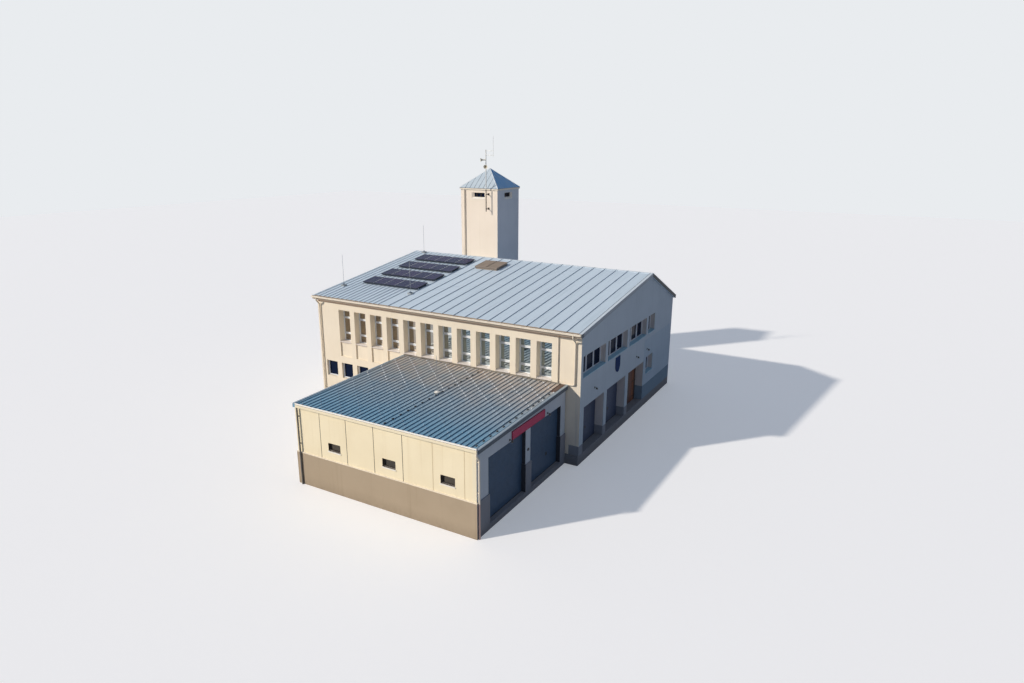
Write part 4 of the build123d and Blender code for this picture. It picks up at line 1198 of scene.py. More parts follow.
@dataclass
class Walls(SubAssembly):
    """Render on the masonry of hall, annex and tower."""

    drip_height: float = 0.03
    drip_reach: float = 0.02
    sheet: float = 0.003
    groove_depth: float = 0.02
    joint_width: float = 0.045
    joint_proud: float = 0.003
    plain_joints: int = 2

    def build(self) -> None:
        """Dresses the walls and adds the joints and the drip strip on the annex's side."""
        for finish, nodes in (
                (Coats.cream, "hall_left_wall_front hall_left_wall_back hall_pilasters hall_left_lintel"),
                (Coats.annex_cream, "annex_side_panels"),
                (Coats.cream_back, "hall_back_wall hall_right_wall annex_back_wall"),
                (Coats.front, "hall_front_lintel hall_front_band hall_front_posts hall_front_gable"),
                (Coats.annex_front, "annex_front_piers annex_front_lintel"),
                (Coats.front_piers, "hall_front_piers"),
                (Coats.front_right, "hall_front_wall_right"),
                (Coats.plinth, "annex_plinth"),
                (Coats.foundation, "hall_foundation"),
                (Coats.concrete, "hall_floor hall_upper_floor annex_floor"),
                (Coats.tower, "tower_side_walls"),
                (Coats.tower_front, "tower_cross_walls")):
            self.dress(finish, *nodes.split())
        self.panel_joints()
        self.plinth_drip()

    def panel_joints(self) -> None:
        """Filler strips over the grooves between the annex's side panels."""
        panels = node_box("annex_side_panels")
        face, half = panels.low.x, self.joint_width / 2
        edges = sorted({round(p.y, 3) for p in points_of("annex_side_panels")
                        if abs(p.x - face - self.groove_depth) < 1e-3})
        places = [(low + high) / 2 for low, high in zip(edges[::2], edges[1::2])]
        side = ((face + self.groove_depth / 2, half / 3), (face + SUNK, half / 3), (face + SUNK, half),
                (face - self.joint_proud, half * 0.8))
        for name, group, finish in (("worn", places[self.plain_joints:], Coats.joint),
                                    ("fresh", places[:self.plain_joints], Coats.faint_joint)):
            draft = Draft()
            for y in group:
                outline = ([(x, y - reach) for x, reach in side]
                           + [(x, y + reach) for x, reach in reversed(side)])
                draft.prism(outline, Axis.Z, (panels.low.z + self.drip_height, panels.high.z))
            self.add(f"annex_panel_joints_{name}", draft, finish, "pale_trim")

    def plinth_drip(self) -> None:
        """A folded strip that sheds rain over the top of the annex's plinth."""
        plinth = node_box("annex_plinth")
        inner, top, sheet = node_box("annex_side_panels").low.x, plinth.high.z, self.sheet
        nose = plinth.low.x - self.drip_reach
        outline = ((inner + SUNK, top - SUNK), (inner + SUNK, top + self.drip_height),
                   (inner - sheet, top + self.drip_height), (nose, top + 2 * sheet), (nose, top - 6 * sheet),
                   (nose + sheet, top - 6 * sheet), (nose + sheet, top - SUNK))
        draft = Draft().prism(outline, Axis.Y, plinth.span(Axis.Y))
        self.add("annex_plinth_drip", draft, Coats.trim, "pale_trim")


@dataclass
class HallRoof(SubAssembly):
    """Standing seams, verge flashings and ridge on the hall's two slopes."""

    wide_pitch: float = 0.912
    wide_start: float = 14.56
    narrow_pitch: float = 0.431
    change_place: float = 15.49
    most_seams: int = 40
    seam: Section = Section(0.026, 0.0208, 0.04)
    flashing: float = 0.16
    flashing_top: float = 0.018
    overhang: float = 0.03
    fold: float = 0.022
    fold_top: float = 0.03
    eave_cover: float = 0.115
    eave_lap: float = 0.10
    eave_sheet: float = 0.006
    ridge_fold: Point = (0.012, 0.026, 0.03)
    ridge_inset: float = 0.01
    apron_height: float = 0.16
    apron_sheet: float = 0.012

    def build(self) -> None:
        """Makes both slopes and their trim."""
        sheet = replace(Coats.hall_sheet, pitch=self.wide_pitch, origin=self.wide_start,
                        change=self.change_place, far_pitch=self.narrow_pitch)
        self.dress(sheet, "hall_roof_left", "hall_roof_right")
        self.dress(Coats.verge_sheet, "hall_ridge_cap")
        self.dress(Coats.board, "verge_trim")
        left, right = RoofPlane.of_node("hall_roof_left"), RoofPlane.of_node("hall_roof_right")
        tower = node_box("tower_cross_walls")
        self.seams("left", left, left.run)
        self.seams("right_front", right, (right.run[0], tower.low.y))
        self.seams("right_back", right, (tower.high.y, right.run[1]))
        self.verge_flashings("left", left)
        self.verge_flashings("right", right)
        self.eave_strip(left)
        self.ridge_folds(left, right)
        self.tower_apron(right, tower)

    def seams(self, name: str, plane: RoofPlane, run: Span) -> None:
        """Seams from eave to ridge in two pitches, as the sheets are laid.

        Args:
            name: Side and stretch, for the pieces' names.
            plane: The slope.
            run: The stretch along Y.
        """
        edge = self.flashing + self.fold
        for kind, first, pitch, finish in (
                ("wide", self.wide_start, -self.wide_pitch, Coats.seam),
                ("narrow", self.change_place, self.narrow_pitch, Coats.pale_seam)):
            places = (first + number * pitch for number in range(self.most_seams))
            row = [y for y in places if run[0] + edge < y < run[1] - edge]
            if row:
                self.bars(f"hall_roof_seams_{name}_{kind}", plane, plane.high_x, self.seam,
                          (row[0], pitch, len(row)), finish, "roof_metal")

    def verge_flashings(self, name: str, plane: RoofPlane) -> None:
        """Folded strips on the roof's two edges over the gables, each with a fold along its inner edge in a
        dark coat, which is painted shadow.

        Args:
            name: Side of the roof, for the pieces' names.
            plane: The slope.
        """
        across = (plane.low_x, plane.high_x)
        for end, along in plane.verges(self.flashing, self.overhang):
            draft = Draft().plate(plane, across, along, (-SUNK, self.flashing_top))
            self.add(f"hall_verge_flashing_{name}_{end}", draft, Coats.verge_sheet, "roof_metal")
        folds = Draft()
        for _, along in plane.verges(self.flashing + self.fold, -self.flashing):
            folds.plate(plane, across, along, (-SUNK, self.fold_top))
        self.add(f"hall_verge_folds_{name}", folds, Coats.fold, "roof_metal")

    def eave_strip(self, plane: RoofPlane) -> None:
        """The drip strip along the left eave, over the gutter."""
        nose, eave, inner = plane.low_x - self.eave_cover, plane.low_x, plane.low_x + self.eave_lap
        low, high, sheet = plane.height(eave), plane.height(inner), self.eave_sheet
        outline = ((nose, low - 6 * SUNK), (inner, high - SUNK), (inner, high + sheet), (eave, low + sheet),
                   (nose, low - 2 * SUNK))
        self.add("hall_eave_strip", Draft().prism(outline, Axis.Y, plane.run), Coats.eave, "pale_trim")

    def ridge_folds(self, left: RoofPlane, right: RoofPlane) -> None:
        """Short upstands of the seams on both sides of the ridge cap."""
        cap, half = node_box("hall_ridge_cap"), Vector(self.ridge_fold)
        drop = right.height(cap.high.x) - left.height(cap.low.x)
        inset = self.ridge_inset
        start = (cap.low.x + inset, cap.low.y + self.wide_pitch, left.height(cap.low.x) + 2 * inset)
        rows = Rows(start, (0.0, self.wide_pitch, 0.0), int(cap.size(Axis.Y) / self.wide_pitch),
                    (cap.size(Axis.X) - 2 * inset, 0.0, drop), 2)
        draft = Draft().block((-half.x, -half.y, -inset), half)
        self.add("hall_ridge_folds", draft, Coats.seam, "roof_metal", rows=rows)

    def tower_apron(self, plane: RoofPlane, tower: Box) -> None:
        """Flashing where the roof meets the tower's left and front faces."""
        sheet, low, high = self.apron_sheet, plane.height(tower.low.x), plane.height(plane.high_x)
        x, dip, top = tower.low.x, -0.01, self.apron_height
        draft = Draft().block((x - sheet, tower.low.y - sheet, low + dip),
                              (x, tower.high.y + sheet, low + top))
        for y in (tower.low.y - sheet, tower.high.y):
            outline = ((x - sheet, low + dip), (plane.high_x, high + dip), (plane.high_x, high + top),
                       (x - sheet, low + top))
            draft.prism(outline, Axis.Y, (y, y + sheet))
        self.add("tower_apron_flashing", draft, Coats.seam, "roof_metal")


@dataclass
class AnnexRoof(SubAssembly):
    """Ribbed sheets, snow guards, lightning conductor and edge flashings on the annex."""

    rib_pitch: float = 1 / 3
    rib: Section = Section(0.115, 0.055, 0.034)
    warm_span: Span = (-9.0, -0.5)
    guard_repeat: int = 9
    guard_apart: float = 1.42
    guard_first: float = -10.1
    guard_width: float = 0.05
    guard_section: Outline = ((-0.05, 0.0), (0.05, 0.0), (0.05, 0.008), (0.014, 0.014), (0.006, 0.075),
                              (-0.012, 0.075), (-0.012, 0.008), (-0.05, 0.006))
    conductor_places: tuple[Span, ...] = ((6.99, -0.5), (1.13, -1.6))
    holder_pitch: float = 0.67
    holder: Point = (0.13, 0.09, 0.045)
    wire_radius: float = 0.006
    wire_inset: float = 0.05
    verge_reach: float = 0.10
    verge_overhang: float = 0.03
    verge_lift: float = 0.012
    upstand: Span = (0.05, 0.10)
    upstand_sheet: float = 0.012
    patch_across: Span = (-1.4, -0.03)
    patch_along: Span = (0.99, 1.35)

    def build(self) -> None:
        """Makes the ribs, guards, conductor and flashings."""
        plane = RoofPlane.of_node("annex_roof")
        first = plane.run[0] + self.rib_pitch / 2
        sheet = replace(Coats.annex_sheet, pitch=self.rib_pitch, origin=first, far_pitch=self.rib_pitch,
                        warm_span=self.warm_span)
        self.dress(sheet, "annex_roof")
        count = int((plane.run[1] - first) / self.rib_pitch) + 1
        row = (first, self.rib_pitch, count)
        self.bars("annex_roof_ribs", plane, 0.0, self.rib, row, sheet, "annex_zinc")
        self.snow_guards(plane, first, count)
        self.conductor(plane)
        self.edges(plane)

    def snow_guards(self, plane: RoofPlane, first: float, ribs: int) -> None:
        """Small white guards on every rib, each rib's a little further up the slope than the last one's.

        Args:
            plane: The slope.
            first: Place of the first rib along Y.
            ribs: Number of ribs.
        """
        half, apart, repeat = self.guard_width / 2, self.guard_apart, self.guard_repeat
        for number in range(repeat):
            x = self.guard_first + number * 2 * apart / repeat % apart
            start = plane.point(x, first + number * self.rib_pitch, self.rib.height - 2 * SUNK)
            rows = Rows(start, (0.0, repeat * self.rib_pitch, 0.0), (ribs - number + repeat - 1) // repeat,
                        plane.slope(apart), int(-self.guard_first / apart))
            draft = Draft().prism(self.guard_section, Axis.Y, (-half, half))
            self.add(f"annex_snow_guards_{number}", draft, Coats.guard, "rail_metal", rows=rows)

    def conductor(self, plane: RoofPlane) -> None:
        """A thin wire up the slope on dark holder blocks, once across the roof and once at its front."""
        wires = Draft()
        long, wide, tall = self.holder
        outline = ((-long / 2, 0.0), (long / 2, 0.0), (long / 3, tall), (-long / 3, tall))
        start = plane.low_x + self.holder_pitch / 2
        for number, (y, end) in enumerate(self.conductor_places):
            rows = Rows(plane.point(start, y, self.rib.height - SUNK), plane.slope(self.holder_pitch),
                        int((end - start) / self.holder_pitch) + 1)
            self.add(f"conductor_holders_{number}", Draft().prism(outline, Axis.Y, (-wide / 2, wide / 2)),
                     Coats.holder_dark, "mast_steel", rows=rows)
            route = [plane.point(x, y, self.rib.height + tall) for x in (plane.low_x + self.wire_inset, end)]
            wires.tube(route, self.wire_radius, 6)
        self.add("conductor_wires", wires, Coats.zinc, "mast_steel")

    def edges(self, plane: RoofPlane) -> None:
        """Verge flashings, the upstand against the hall's wall and the rusty patch beside it."""
        top = self.rib.height + self.verge_lift
        for end, along in plane.verges(self.verge_reach, self.verge_overhang):
            draft = Draft().plate(plane, (plane.low_x, 0.0), along, (-SUNK, top))
            self.add(f"annex_verge_flashing_{end}", draft, Coats.annex_verge, "annex_zinc")
        wall, foot, (reach, height) = node_box("hall_left_wall_front").low.x, plane.height(0), self.upstand
        sheet, dip = self.upstand_sheet, 0.01
        outline = ((wall + SUNK, foot - dip), (wall + SUNK, foot + height), (wall - sheet, foot + height),
                   (wall - sheet - SUNK, foot + top + dip), (wall - reach, foot + top),
                   (wall - reach, foot - dip))
        self.add("annex_wall_upstand", Draft().prism(outline, Axis.Y, (self.patch_along[1], plane.run[1])),
                 Coats.upstand, "annex_zinc")
        self.add("annex_patch_flashing",
                 Draft().plate(plane, self.patch_across, self.patch_along, (-SUNK, top + 2 * SUNK)),
                 Coats.rust, "annex_zinc")


@dataclass
class TowerRoof(SubAssembly):
    """Seams, hips and fascia of the tower's pyramid."""

    seam_pitch: float = 0.45
    seam_radius: float = 0.022
    hip_radius: float = 0.03
    least_share: float = 0.08
    head_gap: float = 0.02
    fascia: float = 0.12
    board_width: float = 0.05
    board_bead: float = 0.004
    board_proud: float = 0.006
    board_span: Span = (-0.03, 0.10)
    drip_proud: float = 0.018
    drip_span: Span = (0.095, 0.124)
    knob: Outline = ((0.0, -0.05), (0.09, -0.05), (0.07, 0.01), (0.03, 0.04), (0.0, 0.045))

    def build(self) -> None:
        """Makes the seams of the four faces and the hips between them."""
        self.dress(Coats.tower_sheet, "tower_roof")
        box = node_box("tower_roof")
        centre, half = box.middle(), box.size(Axis.X) / 2
        low_z, rise = box.low.z + self.fascia, box.size(Axis.Z) - self.fascia
        apex = Vector((centre.x, centre.y, box.high.z - 0.01))
        middle = Matrix.Translation((centre.x, centre.y, 0))
        left, others, hips = Draft(), Draft(), Draft()
        count = int(half / self.seam_pitch)
        for quarter in range(4):
            turn = middle @ Matrix.Rotation(quarter * math.pi / 2, 4, "Z")
            draft = others if quarter else left
            for offset in (number * self.seam_pitch for number in range(-count, count + 1)):
                share = 1 - abs(offset) / half
                if share >= self.least_share:
                    foot = turn @ Vector((-half, offset, low_z))
                    head = turn @ Vector((half * (share - 1), offset, low_z + rise * share))
                    draft.tube((foot, head.lerp(foot, self.head_gap)), self.seam_radius, 6)
            hips.tube((turn @ Vector((-half, -half, low_z)), apex), self.hip_radius, 8)
        # The left face's seams take the dark coat, which is painted shade. The others take the pale coat,
        # which is painted highlight.
        self.add("tower_roof_seams_left", left, Coats.tower_seam_painted_shade, "tower_metal")
        self.add("tower_roof_seams", others, Coats.tower_seam, "tower_metal")
        self.add("tower_roof_hips", hips, Coats.tower_seam, "tower_metal")
        knob = Draft().lathe(self.knob, apex - Vector((0, 0, 0.04)))
        self.add("tower_roof_knob", knob, Coats.seam, "tower_metal")
        self.fascia_boards(box)

    def fascia_boards(self, box: Box) -> None:
        """Cream boards round the eave, and the sheet's drip edge over them in a dark coat, which is painted
        shadow.
        """
        for name, proud, (low, high), finish, slot in (
                ("tower_fascia", self.board_proud, self.board_span, Coats.trim, "pale_trim"),
                ("tower_drip_edge", self.drip_proud, self.drip_span, Coats.fold, "tower_metal")):
            grown = box.grown(proud)
            draft = Draft().ring(Axis.Z, grown.span(Axis.X), grown.span(Axis.Y), self.board_width + proud,
                                 (box.low.z + low, box.low.z + high), self.board_bead)
            self.add(name, draft, finish, slot)


@dataclass(frozen=True)
class Opening:
    """One glazed frame of the building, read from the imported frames."""

    box: Box
    faces: Axis
    inward: int

    def along(self) -> Span:
        """Its horizontal span."""
        return self.box.span(self.faces.beside())

    def front(self) -> float:
        """Place of its outer face."""
        return self.box.span(self.faces)[0 if self.inward > 0 else 1]


class Place(Enum):
    """Where a window is, with the width of its sash bars in metres."""

    TOWER = 0.024
    ANNEX = 0.02
    FRONT = 0.034
    SIDES = 0.045


@dataclass
class Windows(SubAssembly):
    """Sashes in every frame, with their weather bars, linings and glass."""

    frame_bar: float = 0.06
    tall_bar: float = 0.024
    lap: float = 0.012
    sash_proud: float = 0.012
    sash_depth: float = 0.06
    tall_weather: Outline = ((-0.012, -0.004), (-0.045, -0.03), (-0.045, -0.02), (-0.012, 0.008))
    weather_rise: float = 0.035
    weather_drop: float = 0.012
    many_lights: float = 2.9
    tower_level: float = 14.0
    annex_end: float = -9.0
    transom: float = 0.12
    transom_share: tuple[float, ...] = (0.248, 0.736)
    lining: float = 0.008
    tower_recess: float = 0.13
    tower_sill: float = 0.15
    tower_nose: float = 0.02
    tower_splay: float = 0.22
    sill_reach: float = 0.05
    sill_wider: float = 0.03

    def build(self) -> None:
        """Dresses the glass and frames and puts a sash in each light."""
        self.dress(Coats.tall_glass, "tall_window_glass")
        self.dress(Coats.glass, "window_glass")
        self.dress(Coats.window_coat, "tall_window_frames", "window_frames")
        self.dress(Coats.sill, "window_sills")
        self.tall_sashes(sorted(boxes_of("tall_window_frames"), key=lambda b: b.low.y))
        openings = self.openings()
        self.sashes(openings)
        self.annex_linings([o for o in openings if self.place(o) is Place.ANNEX])
        self.tower_reveals([o for o in openings if self.place(o) is Place.TOWER])

    def tall_sashes(self, boxes: Sequence[Box]) -> None:
        """Three sashes in each tall window, one under the other, with a weather bar each."""
        first = boxes[0]
        levels = [first.low.z + self.frame_bar]
        for share in self.transom_share:
            middle = first.low.z + share * first.size(Axis.Z)
            levels += [middle - self.transom / 2, middle + self.transom / 2]
        levels.append(first.high.z - self.frame_bar)
        side = self.frame_bar - self.lap
        along = (side, first.size(Axis.Y) - side)
        rows = Rows((first.low.x, first.low.y, 0.0), (0.0, boxes[1].low.y - first.low.y, 0.0), len(boxes))
        for number, (low, high) in enumerate(zip(levels[::2], levels[1::2])):
            draft = Draft().ring(Axis.X, along, (low - self.lap, high + self.lap), self.tall_bar,
                                 (-self.sash_proud, self.sash_depth), self.sash_proud)
            draft.prism([(x, low + z) for x, z in self.tall_weather], Axis.Y, along)
            self.add(f"tall_window_sashes_{number}", draft, Coats.frame_white, "window_white", rows=rows)

    def openings(self) -> list[Opening]:
        """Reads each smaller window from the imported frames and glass."""
        glass = [box.middle() for box in boxes_of("window_glass")]
        found = []
        for box in boxes_of("window_frames"):
            faces = Axis.X if box.size(Axis.X) < box.size(Axis.Y) else Axis.Y
            middle = box.middle()
            pane = min(glass, key=lambda g: (g - middle).length)
            found.append(Opening(box, faces, 1 if pane[faces.value] > middle[faces.value] else -1))
        return found

    def place(self, opening: Opening) -> Place:
        """Where on the building an opening is."""
        if opening.box.low.z > self.tower_level:
            return Place.TOWER
        if opening.box.high.x < self.annex_end:
            return Place.ANNEX
        return Place.FRONT if opening.faces is Axis.Y and opening.inward > 0 else Place.SIDES

    def sashes(self, openings: Iterable[Opening]) -> None:
        """A sash and a weather bar in each light of the smaller windows."""
        drafts = {place: Draft() for place in Place}
        for opening in openings:
            place = self.place(opening)
            start, end = opening.along()
            lights = 3 if place is Place.TOWER or end - start > self.many_lights else 1
            pitch = (end - start - self.frame_bar) / lights
            for light in range(lights):
                left = start + self.frame_bar / 2 + light * pitch
                self.sash(drafts[place], opening, (left + self.lap, left + pitch - self.lap), place.value)
        for place, draft in drafts.items():
            finish = Coats.frame_dark if place in (Place.TOWER, Place.ANNEX) else Coats.frame_white
            self.add(f"window_sashes_{place.name.lower()}", draft, finish, "window_white")

    def sash(self, draft: Draft, opening: Opening, along: Span, bar: float) -> None:
        """Adds one sash with a weather bar at its foot.

        Args:
            draft: The draft that takes it.
            opening: The window.
            along: The sash's horizontal span.
            bar: Width of its bars.
        """
        out = opening.front() - opening.inward * self.sash_proud
        back = opening.front() + opening.inward * self.sash_depth
        low, high = opening.box.low.z + self.frame_bar / 2, opening.box.high.z - self.frame_bar / 2
        draft.ring(opening.faces, along, (low, high), bar, (out, back), self.sash_proud)
        nose = out - opening.inward * self.weather_rise
        outline = ((out, low + self.weather_rise), (nose, low + self.weather_drop), (nose, low), (out, low))
        draft.prism(outline, opening.faces.beside(), along)

    def tower_reveals(self, openings: Iterable[Opening]) -> None:
        """Steep white sills and a splayed jamb at one end of each of the tower's windows."""
        sills, jambs = Draft(), Draft()
        for opening in openings:
            end, low, front = opening.along()[1], opening.box.low.z, opening.front()
            wall = front - opening.inward * self.tower_recess
            nose = wall - opening.inward * self.tower_nose
            outline = ((nose, low - self.tower_nose), (front, low - self.tower_nose),
                       (front, low + self.tower_sill), (nose, low + self.weather_drop))
            sills.prism(outline, opening.faces.beside(), opening.along())
            corner = [(wall, end), (front, end), (front, end - self.tower_splay)]
            if opening.faces is Axis.Y:
                corner = [(y, x) for x, y in corner]
            jambs.prism(corner, Axis.Z, opening.box.span(Axis.Z))
        self.add("tower_window_sills", sills, Coats.white_trim, "sill_metal")
        self.add("tower_window_jambs", jambs, Coats.tower, "cream_render")

    def annex_linings(self, openings: Iterable[Opening]) -> None:
        """Dark linings of the reveals, which are painted shade, and pale sills, at the windows in the annex's
        side.
        """
        linings, sills = Draft(), Draft()
        face = node_box("annex_side_panels").low.x
        nose = face - self.sill_reach
        for opening in openings:
            (start, end), low, front = opening.along(), opening.box.low.z, opening.front()
            linings.ring(Axis.X, (start, end), opening.box.span(Axis.Z), self.lining, (face - SUNK, front),
                         SUNK)
            outline = ((nose, low - 0.06), (nose, low - 0.006), (front, low + 0.012), (front, low - SUNK),
                       (face + SUNK, low - SUNK), (face + SUNK, low - 0.055))
            sills.prism(outline, Axis.Y, (start - self.sill_wider, end + self.sill_wider))
        self.add("annex_window_linings", linings, Coats.lining, "window_white")
        self.add("annex_window_sills", sills, Coats.white_trim, "sill_metal")


@dataclass
class TallSills(SubAssembly):
    """Upstands at the ends of the sills."""

    lip: float = 0.012
    deepest: float = 0.45
    levels: tuple[Span, Span] = ((0.02, 0.05), (0.045, 0.075))

    def build(self) -> None:
        """Adds an end upstand at both ends of each sill."""
        draft = Draft()
        for box in boxes_of("window_sills"):
            facing = Axis.Y if box.size(Axis.Y) < self.deepest and box.size(Axis.X) > 1.0 else Axis.X
            (front, back), (left, right) = box.span(facing), box.span(facing.beside())
            (a, b), (c, d) = ((box.low.z + low, box.low.z + high) for low, high in self.levels)
            for span in ((left, left + self.lip), (right - self.lip, right)):
                draft.prism(((front, a), (back, c), (back, d), (front, b)), facing.beside(), span)
        self.add("sill_end_upstands", draft, Coats.sill, "sill_metal")


@dataclass(frozen=True)
class Handle:
    """A bar handle on a square plate."""

    plate: float = 0.2
    plate_proud: float = 0.006
    reach: float = 0.045
    bar: float = 0.009
    grip: Span = (0.06, 0.07)

    def draw(self, draft: Draft, x: float, front: float, level: float) -> Draft:
        """Adds the handle to a draft.

        Args:
            draft: The draft that takes it.
            x: Its place across.
            front: Place of the leaf's face.
            level: Height of its middle.

        Returns:
            The same draft.
        """
        half, (inner, outer) = self.plate / 2, self.grip
        draft.block((x - half, front - self.plate_proud, level - half),
                    (x + half, front + SUNK, level + half))
        return draft.tube(((x, front, level - outer), (x, front - self.reach, level - inner),
                           (x, front - self.reach, level + inner), (x, front, level + outer)), self.bar, 10)


@dataclass
class OverheadDoors(SubAssembly):
    """Seals, handles, jamb linings and joint strips of the four overhead doors."""

    seal: float = 0.03
    seal_proud: float = 0.012
    strip: Span = (-0.012, 0.006)
    strip_proud: float = 0.003
    inset: float = 0.01
    handle: Handle = Handle()
    handle_height: float = 1.05
    handle_edge: float = 0.004
    annex_handle: Span = (-2.09, 1.45)
    lining: float = 0.012
    lining_back: float = 0.03
    switch_middle: Point = (-4.855, 0.958, 2.89)
    switch_size: Point = (0.16, 0.05, 0.13)
    switch_edge: float = 0.008

    def build(self) -> None:
        """Dresses the sections and adds what is on them."""
        self.fittings("hall", "hall_garage_doors", Coats.door)
        self.fittings("annex", "annex_garage_doors", Coats.annex_door)
        self.jamb_linings()
        self.switch_box()

    def fittings(self, name: str, node: str, finish: Finish) -> None:
        """Seals under the lowest sections, strips over the joints and a handle on each door.

        Args:
            name: Hall or annex, for the pieces' names.
            node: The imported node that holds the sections.
            finish: The doors' own finish.
        """
        self.dress(finish, node)
        sections = boxes_of(node)
        floor = min(s.low.z for s in sections)
        seals, handles, joints = Draft(), Draft(), Draft()
        for section in sections:
            front, foot = section.low.y, section.low.z
            left, right = section.low.x + self.inset, section.high.x - self.inset
            if foot - floor < 0.01:
                seals.block((left, front - self.seal_proud, foot), (right, front + SUNK, foot + self.seal))
                if name == "hall":
                    self.handle.draw(handles, section.middle().x, front, floor + self.handle_height)
            else:
                joints.block((left, front - self.strip_proud, foot + self.strip[0]),
                             (right, front + SUNK, foot + self.strip[1]))
        if name == "annex":
            self.handle.draw(handles, self.annex_handle[0], sections[0].low.y, self.annex_handle[1])
        self.add(f"{name}_door_seals", seals, Coats.rubber, "door_grey")
        self.add(f"{name}_door_section_joints", joints, finish, "door_grey")
        self.add(f"{name}_door_handles", handles, Coats.lamp, "lamp_metal", edge=self.handle_edge)

    def jamb_linings(self) -> None:
        """Dark linings on both jambs of each annex door, in front of its leaf."""
        piers = sorted(boxes_of("annex_front_piers"), key=lambda b: b.low.x)
        pier, plinth, draft = piers[0], node_box("annex_plinth"), Draft()
        floor, foot = node_box("annex_garage_doors").low.z, plinth.high.z
        for left, right in zip(piers, piers[1:]):
            for x, out in ((left.high.x, 1), (right.low.x, -1)):
                for low, high, proud in ((foot, pier.high.z, 0.0), (floor, foot, pier.low.x - plinth.low.x)):
                    face = x + out * proud
                    draft.block((face - out * SUNK, pier.low.y - proud + self.lining_back, low),
                                (face + out * self.lining, pier.high.y, high))
        self.add("annex_jamb_linings", draft, Coats.door_dark, "door_grey")

    def switch_box(self) -> None:
        """The small dark box on the pier between the annex's doors."""
        middle, (x, y, z) = Vector(self.switch_middle), self.switch_size
        draft = Draft().block(middle - Vector((x / 2, y, z / 2)), middle + Vector((x / 2, SUNK, z / 2)))
        self.add("annex_switch_box", draft, Coats.lamp, "lamp_metal", edge=self.switch_edge)


@dataclass
class HingedBay(SubAssembly):
    """Frame, boarded leaves and ironwork of the bay with the hinged leaves."""

    board: float = 0.13
    gap: float = 0.004
    chamfer: float = 0.006
    ledge: float = 0.022
    ledge_places: tuple[float, ...] = (0.1, 0.5, 0.9)
    ledge_half: float = 0.08
    ledge_inset: float = 0.02
    pull: Handle = Handle(plate=0.09)
    pull_inset: float = 0.09
    pull_height: float = 1.05
    bolt: Outline = ((0.0, 0.002), (0.011, 0.002), (0.011, -0.004), (0.006, -0.008), (0.0, -0.009))
    bolts: int = 5
    bolt_first: Point = (0.12, -0.010, 0.025)
    bolt_ends: float = 0.2

    def build(self) -> None:
        """Makes the boards of both leaves and dresses the ironwork."""
        self.dress(Coats.frame_timber, "bay_c_frame")
        self.dress(Coats.steel_black, "bay_c_hinge_pins", "bay_c_left_straps", "bay_c_right_straps")
        self.leaf("left", LEFT_DOOR, Coats.left_timber, 1)
        self.leaf("right", RIGHT_DOOR, Coats.right_timber, -1)

    def leaf(self, side: str, body: str, finish: Timber, meeting: int) -> None:
        """One leaf of upright boards on ledges, with a pull and bolts near the meeting edge.

        Args:
            side: Left or right, for the names.
            body: The body that the leaf is.
            finish: Its timber.
            meeting: 1 where the meeting edge is at the higher X, else -1.
        """
        box = node_box(f"bay_c_{side}_leaf")
        front, back = box.low.y, box.high.y - self.ledge
        count = round(box.size(Axis.X) / self.board)
        pitch = box.size(Axis.X) / count
        dressed = replace(finish, board=pitch, origin=box.low.x)
        draft, ledges, cut = Draft(), Draft(), self.chamfer
        for number in range(count):
            left = box.low.x + number * pitch + self.gap / 2
            right = left + pitch - self.gap
            draft.prism(((left, front + cut), (left + cut, front), (right - cut, front), (right, front + cut),
                         (right, back), (left, back)), Axis.Z, box.span(Axis.Z))
        boards = self.add(f"bay_c_{side}_boards", draft, dressed, "door_timber", body)
        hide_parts(f"bay_c_{side}_leaf")
        for share in self.ledge_places:
            middle = box.low.z + share * box.size(Axis.Z)
            ledges.block((box.low.x + self.ledge_inset, back - SUNK, middle - self.ledge_half),
                         (box.high.x - self.ledge_inset, box.high.y, middle + self.ledge_half))
        self.add(f"bay_c_{side}_ledges", ledges, dressed, "door_timber", body)
        x = box.span(Axis.X)[meeting > 0] - meeting * self.pull_inset
        pull = self.pull.draw(Draft(), x, front, box.low.z + self.pull_height)
        self.add(f"bay_c_{side}_pull", pull, Coats.steel_black, "hinge_steel", body)
        self.strap_bolts(side, body, front)

    def strap_bolts(self, side: str, body: str, front: float) -> None:
        """Round bolt heads along each strap.

        Args:
            side: Left or right, for the names.
            body: The body that the leaf is.
            front: Place of the leaf's face.
        """
        straps = sorted(boxes_of(f"bay_c_{side}_straps"), key=lambda b: b.low.z)
        first = straps[0]
        rise = (straps[-1].low.z - first.low.z) / (len(straps) - 1)
        start = Vector((first.low.x, front, first.low.z)) + Vector(self.bolt_first)
        step = (first.size(Axis.X) - self.bolt_ends) / (self.bolts - 1)
        rows = Rows(start, (step, 0.0, 0.0), self.bolts, (0.0, 0.0, rise), len(straps))
        self.add(f"bay_c_{side}_bolts", Draft().lathe(self.bolt, axis=Axis.Y, sides=12), Coats.steel_black,
                 "hinge_steel", body, rows=rows)


